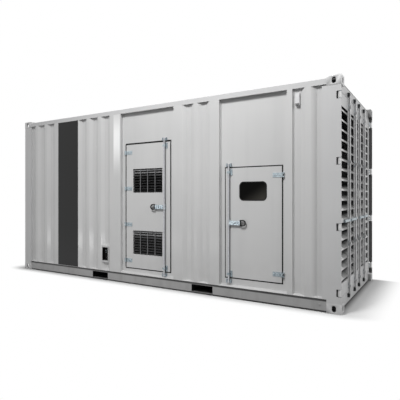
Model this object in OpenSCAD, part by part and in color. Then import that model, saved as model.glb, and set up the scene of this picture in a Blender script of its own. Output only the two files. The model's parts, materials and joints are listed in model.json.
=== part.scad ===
// Containerised diesel generating set: a steel box frame with corrugated walls, two side doors in
// recessed bays and a pair of louvred doors in one end. Millimetres, +X to the louvred end, +Z up,
// the seen long side faces -Y, and the origin is under the middle of the box.

/* [Overall size] */
// Length over the corner castings
length = 6058; // [5500:1:7400]
// Width over the corner castings
width = 2438; // [2000:1:3000]
// Height over the corner castings
height = 2896; // [2500:1:3500]

/* [Corner castings] */
// Length of a casting along X
casting_l = 178; // [150:1:220]
// Width of a casting along Y
casting_w = 162; // [140:1:200]
// Height of a casting
casting_h = 118; // [100:1:150]
// Thickness of a casting's walls
casting_wall = 14; // [10:1:20]
// Distance from the box's end to the middle of a casting's top or bottom hole
slot_x = 102.5; // [90:0.5:110]
// Distance from the box's side to the middle of that hole
slot_y = 89.5; // [75:0.5:95]
// Length of the oval hole in the top or bottom of a casting
casting_slot = 124; // [100:1:126]
// Width of that oval hole
casting_slot_w = 63.5; // [50:0.5:66]
// Height of the oval holes in a casting's outer sides
casting_eye = 79; // [60:1:80]
// Width of those side holes
casting_eye_w = 51; // [40:1:54]

/* [Frame] */
// Width of a post at the louvred end, along X
door_post_w = 232; // [200:1:280]
// Depth of the box part of a post, along Y
post_d = 67; // [50:1:90]
// Thickness of the flange that guards the louvred doors' hinges
flange_t = 10; // [6:1:14]
// Gap from a casting's face back to a post's face
post_inset = 2; // [1:1:4]
// Depth of a post at the closed end, along Y
blank_post_d = 110; // [80:1:130]
// Distance from the box's end to the inner face of the closed end's beams
blank_beam_in = 110; // [95:1:140]
// Height of the header over the louvred doors, below the top rails' underside
header_h = 62; // [50:1:80]
// Sill under the louvred doors below the walls' underside
sill_drop = 10; // [5:1:20]
// Setback of the header and the sill behind the louvred doors' face
beam_inset = 5; // [3:1:10]
// Top of the top rails below the castings' tops
rail_drop = 30; // [20:1:40]
// Height of a top rail's face
rail_h = 69; // [50:1:90]
// Depth of a top rail
rail_d = 60; // [40:1:80]
// Underside of the base above the ground
base_z = 15; // [10:1:25]
// Thickness of the base rails' steel
steel_t = 6; // [4:1:10]
// Width of a base rail's flanges
rail_flange = 55; // [40:1:70]
// Setback of the base rails behind the wall face
base_inset = 15; // [8:1:25]
// Number of floor beams
beam_count = 14; // [8:1:20]
// Width of a floor beam
beam_w = 44; // [30:1:60]
// Underside of the floor beams above the base rails' underside
beam_lift = 20; // [10:1:40]
// Distance from a base rail's end to the nearest floor beam
beam_end = 90; // [60:1:120]
// Least distance from a fork pocket to a floor beam's middle
beam_room = 50; // [40:1:80]

/* [Fork pockets] */
// Clear width of a fork pocket
pocket_w = 360; // [300:1:380]
// Clear height of a fork pocket
pocket_h = 110; // [90:1:115]
// Distance between the pockets' centres
pocket_pitch = 2050; // [1500:1:2100]
// Offset of the pockets towards the louvred end
pocket_shift = 40; // [0:1:80]

/* [Walls] */
// Wall face behind the castings' faces
wall_inset = 5; // [3:1:8]
// Thickness of a wall with its lining
wall_t = 86; // [70:1:110]
// Underside of the walls
wall_z = 165; // [155:1:200]
// Depth of a corrugation
corr_depth = 36; // [20:1:40]
// Outer flat of a corrugation
corr_outer = 72; // [50:1:90]
// Sloped part of a corrugation
corr_slope = 68; // [40:1:75]
// Inner flat of a corrugation
corr_inner = 70; // [50:1:90]
// Start of the flat panel from the closed end's post
flat_start = 700; // [400:1:760]
// Width of the flat panel that carries the dark stripe
flat_w = 642; // [580:1:660]
// Width of the dark stripe
stripe_w = 526; // [400:1:540]
// Thickness of the stripe's sheet
stripe_t = 2; // [1:0.5:4]
// Gap from the stripe to the edge of its flat panel
stripe_margin = 10; // [4:1:20]
// Plain flange at the right end of the long panel
strip_w = 244; // [200:1:320]
// Middle of the first corrugation of the wall between the bays, from its left edge
panel_b_first = 258; // [200:1:300]
// Pitch of the two corrugations of that wall
panel_b_pitch = 267; // [240:1:300]
// Inner flat at the left end of the short corrugated panel
panel_c_inner = 106; // [90:1:120]
// Slope next to that flat
panel_c_slope = 60; // [40:1:70]
// Thickness of the floor
floor_t = 28; // [20:1:40]
// Roof's ridges below the top rails' tops
roof_drop = 4; // [2:1:10]
// Depth of the roof's corrugations
roof_corr = 20; // [10:1:30]
// Half width of a roof ridge
roof_ridge_w = 30; // [20:1:40]
// Width of a slope of the roof's corrugations
roof_slope = 30; // [20:1:40]
// Pitch of the roof's corrugations
roof_pitch = 209; // [150:1:260]
// Distance from the closed end to the exhaust outlet's axis
exhaust_in = 1200; // [600:1:1600]
// Radius of the exhaust outlet
exhaust_r = 140; // [100:1:180]
// Height of the exhaust outlet above the roof's flat
exhaust_h = 40; // [30:1:44]
// Thickness of the exhaust outlet's wall
exhaust_t = 20; // [10:1:30]
// Thickness of the exhaust outlet's floor
exhaust_floor = 12; // [8:1:16]

/* [Wall fittings] */
// Offset of the service recess from the middle of its corrugation
recess_shift = -3.5; // [-6:0.5:6]
// Width of the service recess
recess_w = 129; // [110:1:140]
// Underside of the service recess above the walls' underside
recess_up = 175; // [150:1:220]
// Height of the service recess
recess_h = 222; // [180:1:260]
// Depth of the service recess's box
recess_d = 60; // [50:1:70]
// Wall thickness of that box
recess_t = 6; // [4:1:8]
// Radius of the boss in the recess
boss_r = 30; // [24:1:36]
// Radius of the knob on that boss
knob_r = 17; // [12:1:20]
// Width of the frame beside the recess
recess_rim = 12; // [8:1:16]
// Height of the frame over and under the recess
recess_rim_h = 30; // [15:1:40]
// Width of the sensor box
sensor_w = 52; // [50:1:70]
// Height of the sensor box without its foot
sensor_h = 153; // [120:1:170]
// Depth of the sensor box
sensor_d = 30; // [20:1:34]
// Height of the sensor box's foot
sensor_foot = 12; // [8:1:16]
// How far the foot reaches past the box on each side
sensor_lip = 6; // [4:1:8]
// Distance from the short panel's left edge to the sensor box
sensor_in = 38; // [20:1:50]
// Distance from the walls' top down to the foot's underside
sensor_down = 222; // [200:1:400]

/* [Bays] */
// Depth of the two door bays
bay_depth = 50; // [46:1:55]
// Width of the plain post right of the second bay
bay_post_w = 72; // [60:1:100]
// Width of the short corrugated panel next to the louvred end
panel_c_w = 375; // [340:1:420]
// Width of the second bay
bay_2_w = 992; // [940:1:1100]
// Width of the wall between the bays
panel_b_w = 788; // [760:1:900]
// Width of the first bay
bay_1_w = 1071; // [1000:1:1150]

/* [Side doors] */
// Width of the first door
door_1_w = 887; // [850:1:920]
// Height of the first door
door_1_h = 2013; // [1900:1:2015]
// Underside of the first door
door_1_z = 262; // [250:1:280]
// Width of the second door
door_2_w = 825; // [800:1:860]
// Height of the second door
door_2_h = 1531; // [1400:1:1700]
// Underside of the second door
door_2_z = 293; // [280:1:310]
// Margin from the first bay's hinge side to its door
door_1_margin = 92; // [60:1:110]
// Margin from the second bay's hinge side to its door
door_2_margin = 81; // [60:1:90]
// Gap round a side door
door_gap = 8; // [6:1:10]
// How far a side door's face stands out of its bay's panel
door_proud = 8; // [6:1:10]
// Width of a grille opening
grille_w = 596; // [500:1:620]
// Height of a grille opening
grille_h = 385; // [300:1:400]
// Underside of the lower grille opening above the door's underside
grille_low = 226; // [180:1:260]
// Underside of the upper grille opening above the door's underside
grille_high = 1228; // [1000:1:1260]
// Distance from the hinge edge to the grilles
grille_x = 143; // [120:1:170]
// Number of blades in a grille
grille_blades = 9; // [5:1:12]
// Width of the window
window_w = 408; // [300:1:440]
// Height of the window
window_h = 263; // [200:1:300]
// Underside of the window above the door's underside
window_z = 1074; // [900:1:1100]
// Distance from the free edge to the window
window_x = 211; // [180:1:240]
// Corner radius of the window
window_r = 62; // [30:1:80]

/* [Locking gear] */
// Radius of a locking rod
rod_r = 14; // [10:0.5:15]
// Running clearance of a rod in its guides
rod_gap = 0.5; // [0.3:0.1:1]
// Distance from a door's face to the rod's axis
rod_out = 20; // [19:0.5:21]
// Distance from the first side door's free edge to its rod
rod_1_edge = 96; // [55:1:110]
// Distance from the second side door's free edge to its rod
rod_2_edge = 56; // [50:1:110]
// How far a side door's rod reaches below its door
rod_below = 72; // [60:1:80]
// How far a side door's rod reaches above its door
rod_above = 55; // [50:1:65]
// How far an end rod reaches past the louvred doors' opening
rod_past = 60; // [50:1:70]
// Half width of a guide's block on a side door
guide_block_w = 22; // [18:1:26]
// Distance from a side door's rod to the far edge of a guide's foot
guide_foot_w = 50; // [40:1:60]
// Half height of that foot
guide_foot_h = 44; // [30:1:50]
// Half width of the foot of a louvred door's guide
end_foot_w = 26; // [24:1:30]
// Height of a cam and of a keeper's gap round it
cam_h = 30; // [24:1:34]
// Half depth of a cam
cam_d = 10; // [8:1:10]
// Height of a keeper's cheeks
keeper_h = 50; // [40:1:60]
// Thickness of a keeper's cheeks
keeper_t = 8; // [6:1:10]
// Gap from a side door's edge to its keepers
keeper_off = 15; // [12:1:20]
// Half length of a cam across the rod
cam_l = 16; // [15:0.5:16]
// Half gap between a keeper's cheeks
keeper_gap = 28; // [26:1:32]
// Length of a side door's handle plate
plate_l = 178; // [160:1:220]
// Half height of a handle plate
plate_h = 30; // [24:1:36]
// Thickness of a handle plate
plate_t = 6; // [4:1:7]
// Size of the handle's grip
grip_l = 88; // [70:1:100]
// Width of the grip's bar
grip_bar = 17; // [12:1:20]
// Thickness of the grip
grip_t = 12; // [8:1:14]
// Height of the first handle
handle_1_z = 1262; // [1100:1:1400]
// Height of the second handle
handle_2_z = 1058; // [900:1:1200]

/* [Louvred doors] */
// Setback of the louvred doors' face
end_face = 44; // [36:1:46]
// Depth of a louvred door
leaf_d = 100; // [90:1:120]
// Gap round the pair of doors
leaf_gap = 9; // [8:1:12]
// Gap between the two doors
middle_gap = 18; // [16:1:24]
// Width of a hinge stile
hinge_stile = 100; // [80:1:120]
// Width of a meeting stile
meet_stile = 40; // [40:1:60]
// Distance from the middle to the inner rods
rod_inner = 170; // [150:1:200]
// Distance from the middle to the outer rods
rod_outer = 589; // [520:1:620]
// Gap under and over the pair of doors
leaf_end_gap = 10; // [8:1:12]
// Width of the bar behind an inner rod
bar_inner_w = 52; // [44:1:80]
// Width of the bar behind an outer rod
bar_outer_w = 52; // [44:1:110]
// Thickness of those bars
bar_t = 6; // [4:1:8]
// Vertical pitch of the louvre blades
blade_pitch = 126.1; // [112:0.1:150]
// Thickness of a blade
blade_t = 4; // [3:0.5:6]
// Height of the lip on a blade
blade_lip = 22; // [15:1:30]
// Rise of a blade from its lip to its back
blade_slope = 50; // [40:1:90]
// Gap from the blades' backs to the inside of the box
blade_back = 15; // [10:1:25]
// Underside of the lowest blade
blade_z = 362; // [340:1:440]
// Height of a louvred door's top rail
leaf_top_rail = 100; // [80:1:120]
// Gap between the lowest blade and the door's bottom rail
leaf_low_gap = 30; // [20:1:100]
// Gap between the top blade's underside and the plain band over the blades
leaf_high_gap = 57; // [40:1:70]
// Half height of the bar behind the handles
handle_bar_h = 18; // [16:1:36]
// Height of the handles on the louvred doors
end_handle_z = 1110; // [1000:1:1200]
// Length of those handles
end_handle_l = 300; // [200:1:320]
// Height of the lower middle guides on those doors
guide_low_z = 807; // [700:1:900]
// Height of the upper middle guides
guide_high_z = 1887; // [1700:1:2000]

/* [Hinges] */
// Distance from the box's end to the louvred doors' hinge axes
pin_x = 21; // [20:1:22]
// Distance from the box's side to those axes
pin_y = 21; // [20:1:22]
// Radius of those hinges' barrels
barrel_r = 18; // [16:0.5:18]
// Radius of those hinges' pins
pin_r = 8; // [6:0.5:9]
// Running clearance of a hinge pin
pin_gap = 0.5; // [0.3:0.1:1]
// Half height of a louvred door's hinge barrel
barrel_h = 38; // [30:1:45]
// Half height of a knuckle on a post
lug_h = 14; // [10:1:18]
// Gap between a barrel and the ends of the notch round it
barrel_gap = 8; // [6:1:12]
// Room beside a barrel for the door's hinge plate
barrel_room = 25; // [20:1:30]
// Lowest of those hinges
end_hinge_z = 256; // [240:1:300]
// Distance from the header's underside down to the highest of those hinges
end_hinge_top = 83; // [70:1:110]
// Radius of the side doors' hinge barrels
side_barrel_r = 11; // [9:0.5:12]
// Radius of the side doors' hinge pins
side_pin_r = 5; // [4:0.5:6]
// Length of a side hinge's strap on the door
strap_l = 135; // [100:1:150]
// Half height of a side hinge
strap_h = 30; // [24:1:36]
// Thickness of a strap and of a guide's foot
strap_t = 5; // [4:1:6]
// Half height of the knuckle on a strap
side_knuckle = 14; // [10:1:14]
// Distance from a side door's face out to its hinge axis
side_pin_out = 14; // [13:0.5:15]
// Distance from a side door's hinge edge to that axis
side_pin_off = 10; // [9:0.5:12]
// Distances from the first door's ends to its lowest and highest hinges
hinge_1_low = 118; // [90:1:150]
hinge_1_high = 128; // [90:1:150]
// Distances from the second door's ends to its hinges
hinge_2_low = 110; // [90:1:150]
hinge_2_high = 116; // [90:1:150]
// Clearance between a fitted piece and its seat
seat_gap = 0.3; // [0.2:0.1:0.5]

/* [Hidden] */
$fn = 48;

// Colours
wall_grey = [0.76, 0.76, 0.76];
frame_grey = [0.72, 0.72, 0.73];
zinc = [0.66, 0.72, 0.76];
black = [0.06, 0.06, 0.06];
charcoal = [0.2, 0.2, 0.21];

// Frame
half_l = length / 2;
half_w = width / 2;
rail_top = height - rail_drop;
wall_top = rail_top - rail_h;
wall_h = wall_top - wall_z;
face_y = -half_w + wall_inset;          // outer plane of the front wall
inner_y = face_y + wall_t;              // inner plane of the front wall
base_top = wall_z;                      // top of the base rails
floor_z = wall_z;
base_y = half_w - wall_inset - base_inset;
rail_end = half_l - casting_l;          // rails run between the castings
door_post_x = half_l - door_post_w;     // inner edge of the louvred end's posts
blank_post_x = -half_l + casting_l;     // inner edge of the closed end's posts
casting_in = half_w - casting_w;        // inner face of the castings
pocket_x = [pocket_shift - pocket_pitch / 2, pocket_shift + pocket_pitch / 2];
pocket_z = base_z + steel_t;

blank_post_y = half_w - post_inset - blank_post_d;       // inner face of the closed end's posts
blank_beam_x = -half_l + blank_beam_in;
roof_ridge = rail_top - roof_drop;
exhaust_x = -half_l + exhaust_in;

// Front wall, from the louvred end to the closed one
c_x = door_post_x - panel_c_w;          // left edge of the short corrugated panel
bay_2_x1 = c_x - bay_post_w;
bay_2_x0 = bay_2_x1 - bay_2_w;
bay_1_x1 = bay_2_x0 - panel_b_w;
bay_1_x0 = bay_1_x1 - bay_1_w;
a_x = blank_post_x;                     // left edge of the long panel
corr_pitch = corr_outer + 2 * corr_slope + corr_inner;
notch_w = corr_inner + 2 * corr_slope;
flat_x0 = a_x + flat_start;
flat_x1 = flat_x0 + flat_w;
stripe_x = flat_x1 - stripe_margin - stripe_w;

// Side doors
door_1_x = bay_1_x0 + door_1_margin;                     // hinge edge
door_2_x = bay_2_x1 - door_2_margin - door_2_w;          // free edge
door_face = face_y + bay_depth - door_proud;
rod_y = door_face - rod_out;
rod_1_x = door_1_x + door_1_w - rod_1_edge;
rod_2_x = door_2_x + rod_2_edge;
side_pin_y = door_face - side_pin_out;
pin_1_x = door_1_x - side_pin_off;
pin_2_x = door_2_x + door_2_w + side_pin_off;
hinge_1_step = (door_1_h - hinge_1_low - hinge_1_high) / 3;
hinges_1 = [for (k = [0 : 3]) door_1_z + hinge_1_low + k * hinge_1_step];
hinges_2 = [door_2_z + hinge_2_low, door_2_z + door_2_h - hinge_2_high];

// Louvred end
leaf_x = half_l - end_face;                              // doors' outer face
leaf_back = leaf_x - leaf_d;
leaf_edge = half_w - post_inset - post_d - leaf_gap;     // hinge edge of a door
sill_top = wall_z - sill_drop;
header_z = wall_top - header_h;
leaf_z0 = sill_top + leaf_end_gap;
leaf_z1 = header_z - leaf_end_gap;
beam_face = leaf_x - beam_inset;
end_rod_x = leaf_x + rod_out;
end_rod_y = [-rod_outer, -rod_inner, rod_inner, rod_outer];
blade_rise = blade_lip + blade_slope;
blade_room = leaf_z1 - leaf_top_rail - 20 - blade_rise - blade_z;
blade_count = floor(blade_room / blade_pitch) + 1;
blade_run = leaf_d - blade_back;
end_hinge_step = (header_z - end_hinge_top - end_hinge_z) / 3;
end_hinges = [for (k = [0 : 3]) end_hinge_z + k * end_hinge_step];
notch_h = barrel_h + barrel_gap;
pin_axis_x = half_l - pin_x;
pin_axis_y = half_w - pin_y;

// A box given by two opposite corners
module block(a, b) {
    translate(a)
        cube(b - a);
}

// An upright oval of a given width and length along Y
module oval(w, l) {
    hull_l = (l - w) / 2;
    union() {
        translate([0, hull_l])
            circle(d = w);
        translate([0, -hull_l])
            circle(d = w);
        square([w, 2 * hull_l], center = true);
    }
}

// One corner casting with its corner at the origin, its body in +X +Y +Z and its slot downwards
module casting() {
    w = casting_wall;
    difference() {
        cube([casting_l, casting_w, casting_h]);
        translate([w, w, 2 * w])
            cube([casting_l - 2 * w, casting_w - 2 * w, casting_h - 3 * w]);
        translate([slot_x, slot_y, -1])
            linear_extrude(2 * w + 2)
                rotate(90)
                    oval(casting_slot_w, casting_slot);
        translate([casting_l / 2, w + 1, casting_h / 2 + 2])
            rotate([90, 0, 0])
                linear_extrude(w + 2)
                    oval(casting_eye_w, casting_eye);
        translate([-1, casting_w / 2, casting_h / 2 + 2])
            rotate([90, 0, 90])
                linear_extrude(w + 2)
                    oval(casting_eye_w, casting_eye);
    }
}

// Four castings at the box's corners, in the bottom position
module casting_set() {
    for (sx = [0, 1], sy = [0, 1])
        mirror([sx, 0, 0])
            mirror([0, sy, 0])
                translate([-half_l, -half_w, 0])
                    casting();
}

module castings_bottom() {
    color(frame_grey)
        casting_set();
}

module castings_top() {
    color(frame_grey)
        translate([0, 0, height])
            mirror([0, 0, 1])
                casting_set();
}

// The front post at the louvred end: a box, and a flange over the hinges with a notch at each
module door_post() {
    y0 = -half_w + post_inset;
    x1 = half_l - post_inset;
    box_x1 = pin_axis_x - barrel_r - barrel_room;
    notch_d = 40;
    difference() {
        union() {
            block([door_post_x, y0, wall_z], [box_x1, y0 + post_d, height - casting_h]);
            block([rail_end, y0, casting_h], [box_x1, y0 + post_d, wall_z]);
            block([box_x1, y0, casting_h], [x1, y0 + flange_t, height - casting_h]);
            for (z = end_hinges, s = [-1, 1])
                post_lug(z + s * (notch_h + lug_h));
        }
        for (z = end_hinges)
            block([box_x1 + 4, y0 - 1, z - notch_h], [x1 + 1, y0 + notch_d, z + notch_h]);
        for (z = end_hinges)
            translate([pin_axis_x, -pin_axis_y, z - notch_h - 2 * lug_h - 2])
                cylinder(r = pin_r + pin_gap, h = 2 * (notch_h + 2 * lug_h + 2));
    }
}

// A fixed knuckle of a louvred door's hinge, level with z
module post_lug(z) {
    translate([pin_axis_x, -pin_axis_y, z - lug_h])
        cylinder(r = barrel_r, h = 2 * lug_h);
    block([pin_axis_x - barrel_r, -half_w + post_inset, z - lug_h],
          [pin_axis_x + barrel_r, -pin_axis_y, z + lug_h]);
}

module door_end_posts() {
    color(frame_grey)
        for (s = [0, 1])
            mirror([0, s, 0])
                door_post();
}

module blank_end_posts() {
    color(frame_grey)
        for (s = [0, 1])
            mirror([0, s, 0])
                block([-half_l + post_inset, -half_w + post_inset, casting_h],
                      [blank_post_x, -blank_post_y, height - casting_h]);
}

module top_rails() {
    color(frame_grey)
        for (s = [0, 1])
            mirror([0, s, 0])
                block([-rail_end, face_y, wall_top], [rail_end, face_y + rail_d, rail_top]);
}

// A base rail's channel section, open towards the middle, with the fork pockets cut through
module base_rail() {
    difference() {
        translate([-rail_end, -base_y, 0])
            rotate([90, 0, 90])
                linear_extrude(2 * rail_end)
                    polygon([[0, base_z], [rail_flange, base_z], [rail_flange, base_z + steel_t],
                             [steel_t, base_z + steel_t], [steel_t, base_top - steel_t],
                             [rail_flange, base_top - steel_t], [rail_flange, base_top],
                             [0, base_top]]);
        for (x = pocket_x)
            block([x - pocket_w / 2, -base_y - 1, pocket_z],
                  [x + pocket_w / 2, -base_y + steel_t + 1, pocket_z + pocket_h]);
    }
}

module side_rails() {
    color(frame_grey)
        for (s = [0, 1])
            mirror([0, s, 0])
                base_rail();
}

// Floor beams, evenly spread, leaving out those that would stand in a fork pocket
module floor_beams() {
    step = 2 * (rail_end - beam_end) / (beam_count - 1);
    color(frame_grey)
        for (k = [0 : beam_count - 1])
            let (x = -rail_end + beam_end + k * step)
                if (min([for (p = pocket_x) abs(x - p)]) > pocket_w / 2 + beam_room)
                    block([x - beam_w / 2, -base_y + rail_flange, base_z + beam_lift],
                          [x + beam_w / 2, base_y - rail_flange, base_top]);
}

// The two tubes that the forks go into, from rail to rail
module fork_pockets() {
    color(frame_grey)
        for (x = pocket_x)
            difference() {
                block([x - pocket_w / 2 - steel_t, -base_y + rail_flange, base_z],
                      [x + pocket_w / 2 + steel_t, base_y - rail_flange, pocket_z + pocket_h + steel_t]);
                block([x - pocket_w / 2, -base_y, pocket_z],
                      [x + pocket_w / 2, base_y, pocket_z + pocket_h]);
            }
}

// A beam across the louvred end: z0 to z1 wide between the posts, z1 to z2 between the castings
module end_beam(z0, z1, z2) {
    post_in = half_w - post_inset - post_d;
    translate([leaf_back, 0, 0])
        rotate([90, 0, 90])
            linear_extrude(beam_face - leaf_back)
                polygon([[-post_in, z1], [-post_in, z0], [post_in, z0], [post_in, z1],
                         [casting_in, z1], [casting_in, z2], [-casting_in, z2], [-casting_in, z1]]);
}

module door_header() {
    color(frame_grey)
        end_beam(header_z, height - casting_h, rail_top);
}

module door_sill() {
    color(frame_grey)
        end_beam(sill_top, casting_h, base_z);
}

module blank_end_beams() {
    color(frame_grey) {
        block([-half_l + wall_inset, -casting_in, base_z], [blank_beam_x, casting_in, base_top]);
        block([-half_l + wall_inset, -casting_in, wall_top], [blank_beam_x, casting_in, rail_top]);
    }
}

// The deck of the floor, narrower between the closed end's posts
module floor_deck() {
    x0 = -half_l + wall_t + wall_inset;
    x1 = leaf_back - 40;
    color(frame_grey)
        translate([0, 0, floor_z])
            linear_extrude(floor_t)
                polygon([[x0, -blank_post_y], [blank_post_x, -blank_post_y], [blank_post_x, inner_y],
                         [x1, inner_y], [x1, -inner_y], [blank_post_x, -inner_y],
                         [blank_post_x, blank_post_y], [x0, blank_post_y]]);
}

// The outline of one notch pressed into a sheet, centred on x
function notch(x) = [[x - notch_w / 2, 0], [x - corr_inner / 2, corr_depth],
                     [x + corr_inner / 2, corr_depth], [x + notch_w / 2, 0]];

// A wall with the given outline on its outer side, which runs along X from x0 to x1
module wall(x0, x1, outline) {
    translate([0, face_y, wall_z])
        linear_extrude(wall_h)
            polygon(concat([[x1, wall_t], [x0, wall_t]], outline));
}

left_notches = max(0, floor((flat_start - corr_inner - corr_slope) / corr_pitch));
right_room = bay_1_x0 - flat_x1 - strip_w;
right_notches = max(0, floor((right_room + corr_outer) / corr_pitch));
right_x = flat_x1 - corr_outer / 2;
a_outline = concat(
    [[a_x, corr_depth], [a_x + corr_inner, corr_depth], [a_x + corr_inner + corr_slope, 0]],
    [for (k = [0 : 1 : left_notches - 1])
        each notch(a_x + corr_inner + corr_slope + corr_outer / 2 + (k + 0.5) * corr_pitch)],
    [for (k = [0 : 1 : right_notches - 1]) each notch(right_x + (k + 0.5) * corr_pitch)],
    [[bay_1_x0, 0]]);
b_x = bay_1_x1 + panel_b_first;
b_outline = concat([[bay_1_x1, 0]], notch(b_x), notch(b_x + panel_b_pitch), [[bay_2_x0, 0]]);
c_flat = c_x + panel_c_inner + panel_c_slope;
c_outline = [[bay_2_x1, 0], [c_x, 0], [c_x, corr_depth], [c_x + panel_c_inner, corr_depth],
             [c_flat, 0], [c_flat + corr_outer, 0],
             [c_flat + corr_outer + corr_slope, corr_depth], [door_post_x, corr_depth]];

// The service recess low on the long panel
recess_mid = right_x + (right_notches - 0.5) * corr_pitch;
recess_x = recess_mid + recess_shift - recess_w / 2;
recess_z = wall_z + recess_up;

module front_wall_a() {
    color(wall_grey)
        difference() {
            wall(a_x, bay_1_x0, a_outline);
            block([recess_x, face_y - 1, recess_z],
                  [recess_x + recess_w, face_y + recess_d, recess_z + recess_h]);
        }
}

module front_wall_b() {
    color(wall_grey)
        wall(bay_1_x1, bay_2_x0, b_outline);
}

module front_wall_c() {
    color(wall_grey)
        wall(bay_2_x1, door_post_x, c_outline);
}

// A slab in a bay's back plane
module bay_slab(x0, x1, z0, z1) {
    block([x0, face_y + bay_depth, z0], [x1, inner_y, z1]);
}

module bay_jambs() {
    g = door_gap;
    color(wall_grey) {
        bay_slab(bay_1_x0, door_1_x - g, wall_z, door_1_z + door_1_h + g);
        bay_slab(door_1_x + door_1_w + g, bay_1_x1, wall_z, door_1_z + door_1_h + g);
        bay_slab(bay_2_x0, door_2_x - g, wall_z, door_2_z + door_2_h + g);
        bay_slab(door_2_x + door_2_w + g, bay_2_x1, wall_z, door_2_z + door_2_h + g);
    }
}

module bay_heads() {
    color(wall_grey) {
        bay_slab(bay_1_x0, bay_1_x1, door_1_z + door_1_h + door_gap, wall_top);
        bay_slab(bay_2_x0, bay_2_x1, door_2_z + door_2_h + door_gap, wall_top);
    }
}

module bay_sills() {
    g = door_gap;
    color(wall_grey) {
        bay_slab(door_1_x - g, door_1_x + door_1_w + g, wall_z, door_1_z - g);
        bay_slab(door_2_x - g, door_2_x + door_2_w + g, wall_z, door_2_z - g);
    }
}

module stripe_panel() {
    color(charcoal)
        block([stripe_x, face_y - stripe_t, wall_z + 6], [stripe_x + stripe_w, face_y, wall_top - 2]);
}

// A lined pocket with a raised rim and a turning knob on a boss
module service_recess() {
    x1 = recess_x + recess_w;
    z1 = recess_z + recess_h;
    t = recess_t;
    y1 = face_y + recess_d;
    boss_y = face_y + recess_d / 2 - 5;
    knob_z = recess_z + 0.68 * recess_h;
    color(black)
        union() {
            difference() {
                block([recess_x, face_y, recess_z], [x1, y1, z1]);
                block([recess_x + t, face_y - 1, recess_z + t], [x1 - t, y1 - t, z1 - t]);
            }
            translate([recess_x + recess_w / 2, y1 - t + 1, knob_z])
                rotate([90, 0, 0])
                    cylinder(r = boss_r, h = y1 - t + 1 - boss_y);
            translate([recess_x + recess_w / 2, boss_y + 1, knob_z])
                rotate([90, 0, 0])
                    cylinder(r = knob_r, h = 18);
        }
}

// The frame round that pocket, which fills the corrugation beside it
module recess_frame() {
    g = seat_gap;
    half = notch_w / 2 - 2 * g;
    half_in = corr_inner / 2 - 2 * g;
    z0 = recess_z - recess_rim_h;
    z1 = recess_z + recess_h + recess_rim_h;
    color(wall_grey)
        difference() {
            intersection() {
                translate([recess_mid, face_y, z0])
                    linear_extrude(z1 - z0)
                        polygon([[-half, 0], [half, 0], [half_in, corr_depth - g],
                                 [-half_in, corr_depth - g]]);
                block([recess_x - recess_rim, face_y - 1, z0 - 1],
                      [recess_x + recess_w + recess_rim, face_y + corr_depth, z1 + 1]);
            }
            block([recess_x - g, face_y - 1, recess_z - g],
                  [recess_x + recess_w + g, face_y + corr_depth + 1, recess_z + recess_h + g]);
        }
}

// A small white box with a dark window, hung in the notch next to the louvred end
module sensor_box() {
    x = c_x + sensor_in;
    z = wall_top - sensor_down;
    y = face_y + corr_depth;
    color("white")
        union() {
            block([x, y - sensor_d, z + sensor_foot], [x + sensor_w, y, z + sensor_foot + sensor_h]);
            block([x - sensor_lip, y - sensor_lip, z], [x + sensor_w + sensor_lip, y, z + sensor_foot]);
        }
}

// The roof: a lined slab with ribs pressed across it, cut out round the castings and the outlet
module roof_panel() {
    x0 = blank_beam_x;
    x1 = leaf_back;
    ribs = floor((x1 - x0 - 2 * roof_ridge_w) / roof_pitch);
    start = (x0 + x1 - ribs * roof_pitch) / 2;
    ridge = roof_ridge;
    low = roof_ridge_w + roof_slope;
    profile = [for (k = [0 : ribs - 1]) each
        let (x = start + k * roof_pitch)
            [[x + roof_ridge_w, ridge], [x + low, ridge - roof_corr],
             [x + roof_pitch - low, ridge - roof_corr], [x + roof_pitch - roof_ridge_w, ridge]]];
    color(wall_grey)
        difference() {
            translate([0, -face_y - rail_d, 0])
                rotate([90, 0, 0])
                    linear_extrude(2 * (-face_y - rail_d))
                        polygon(concat([[x1, ridge], [x1, wall_top], [x0, wall_top], [x0, ridge]],
                                       profile));
            translate([exhaust_x, 0, ridge - roof_corr])
                cylinder(r = exhaust_r + seat_gap, h = roof_corr + 1);
            for (sx = [-1, 1], sy = [-1, 1])
                block([min(sx * rail_end, sx * half_l), min(sy * casting_in, sy * half_w), wall_top - 1],
                      [max(sx * rail_end, sx * half_l), max(sy * casting_in, sy * half_w), ridge + 1]);
        }
}

// The closed end, with notches across its whole width, cut out round the castings
module end_wall() {
    half = blank_post_y;
    count = floor((2 * half - corr_outer) / corr_pitch);
    outline = [for (k = [0 : count - 1]) each notch((k + 0.5 - count / 2) * corr_pitch)];
    color(wall_grey)
        difference() {
            translate([-half_l + wall_inset, 0, wall_z])
                linear_extrude(wall_h)
                    rotate(-90)
                        polygon(concat([[half, wall_t], [-half, wall_t], [-half, 0]], outline,
                                       [[half, 0]]));
            for (s = [-1, 1])
                block([-half_l, min(s * casting_in, s * half_w), height - casting_h],
                      [blank_post_x, max(s * casting_in, s * half_w), wall_top + 1]);
        }
}

// The long wall away from the seen side
module back_walls() {
    color(wall_grey)
        mirror([0, 1, 0]) {
            wall(a_x, bay_1_x0, a_outline);
            wall(bay_1_x1, bay_2_x0, b_outline);
            wall(bay_2_x1, door_post_x, c_outline);
        }
}

// The two bays in that wall, with their door openings
module back_bays() {
    g = door_gap;
    color(wall_grey)
        mirror([0, 1, 0])
            difference() {
                union() {
                    bay_slab(bay_1_x0, bay_1_x1, wall_z, wall_top);
                    bay_slab(bay_2_x0, bay_2_x1, wall_z, wall_top);
                }
                block([door_1_x - g, face_y, door_1_z - g],
                      [door_1_x + door_1_w + g, inner_y + 1, door_1_z + door_1_h + g]);
                block([door_2_x - g, face_y, door_2_z - g],
                      [door_2_x + door_2_w + g, inner_y + 1, door_2_z + door_2_h + g]);
            }
}

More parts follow.
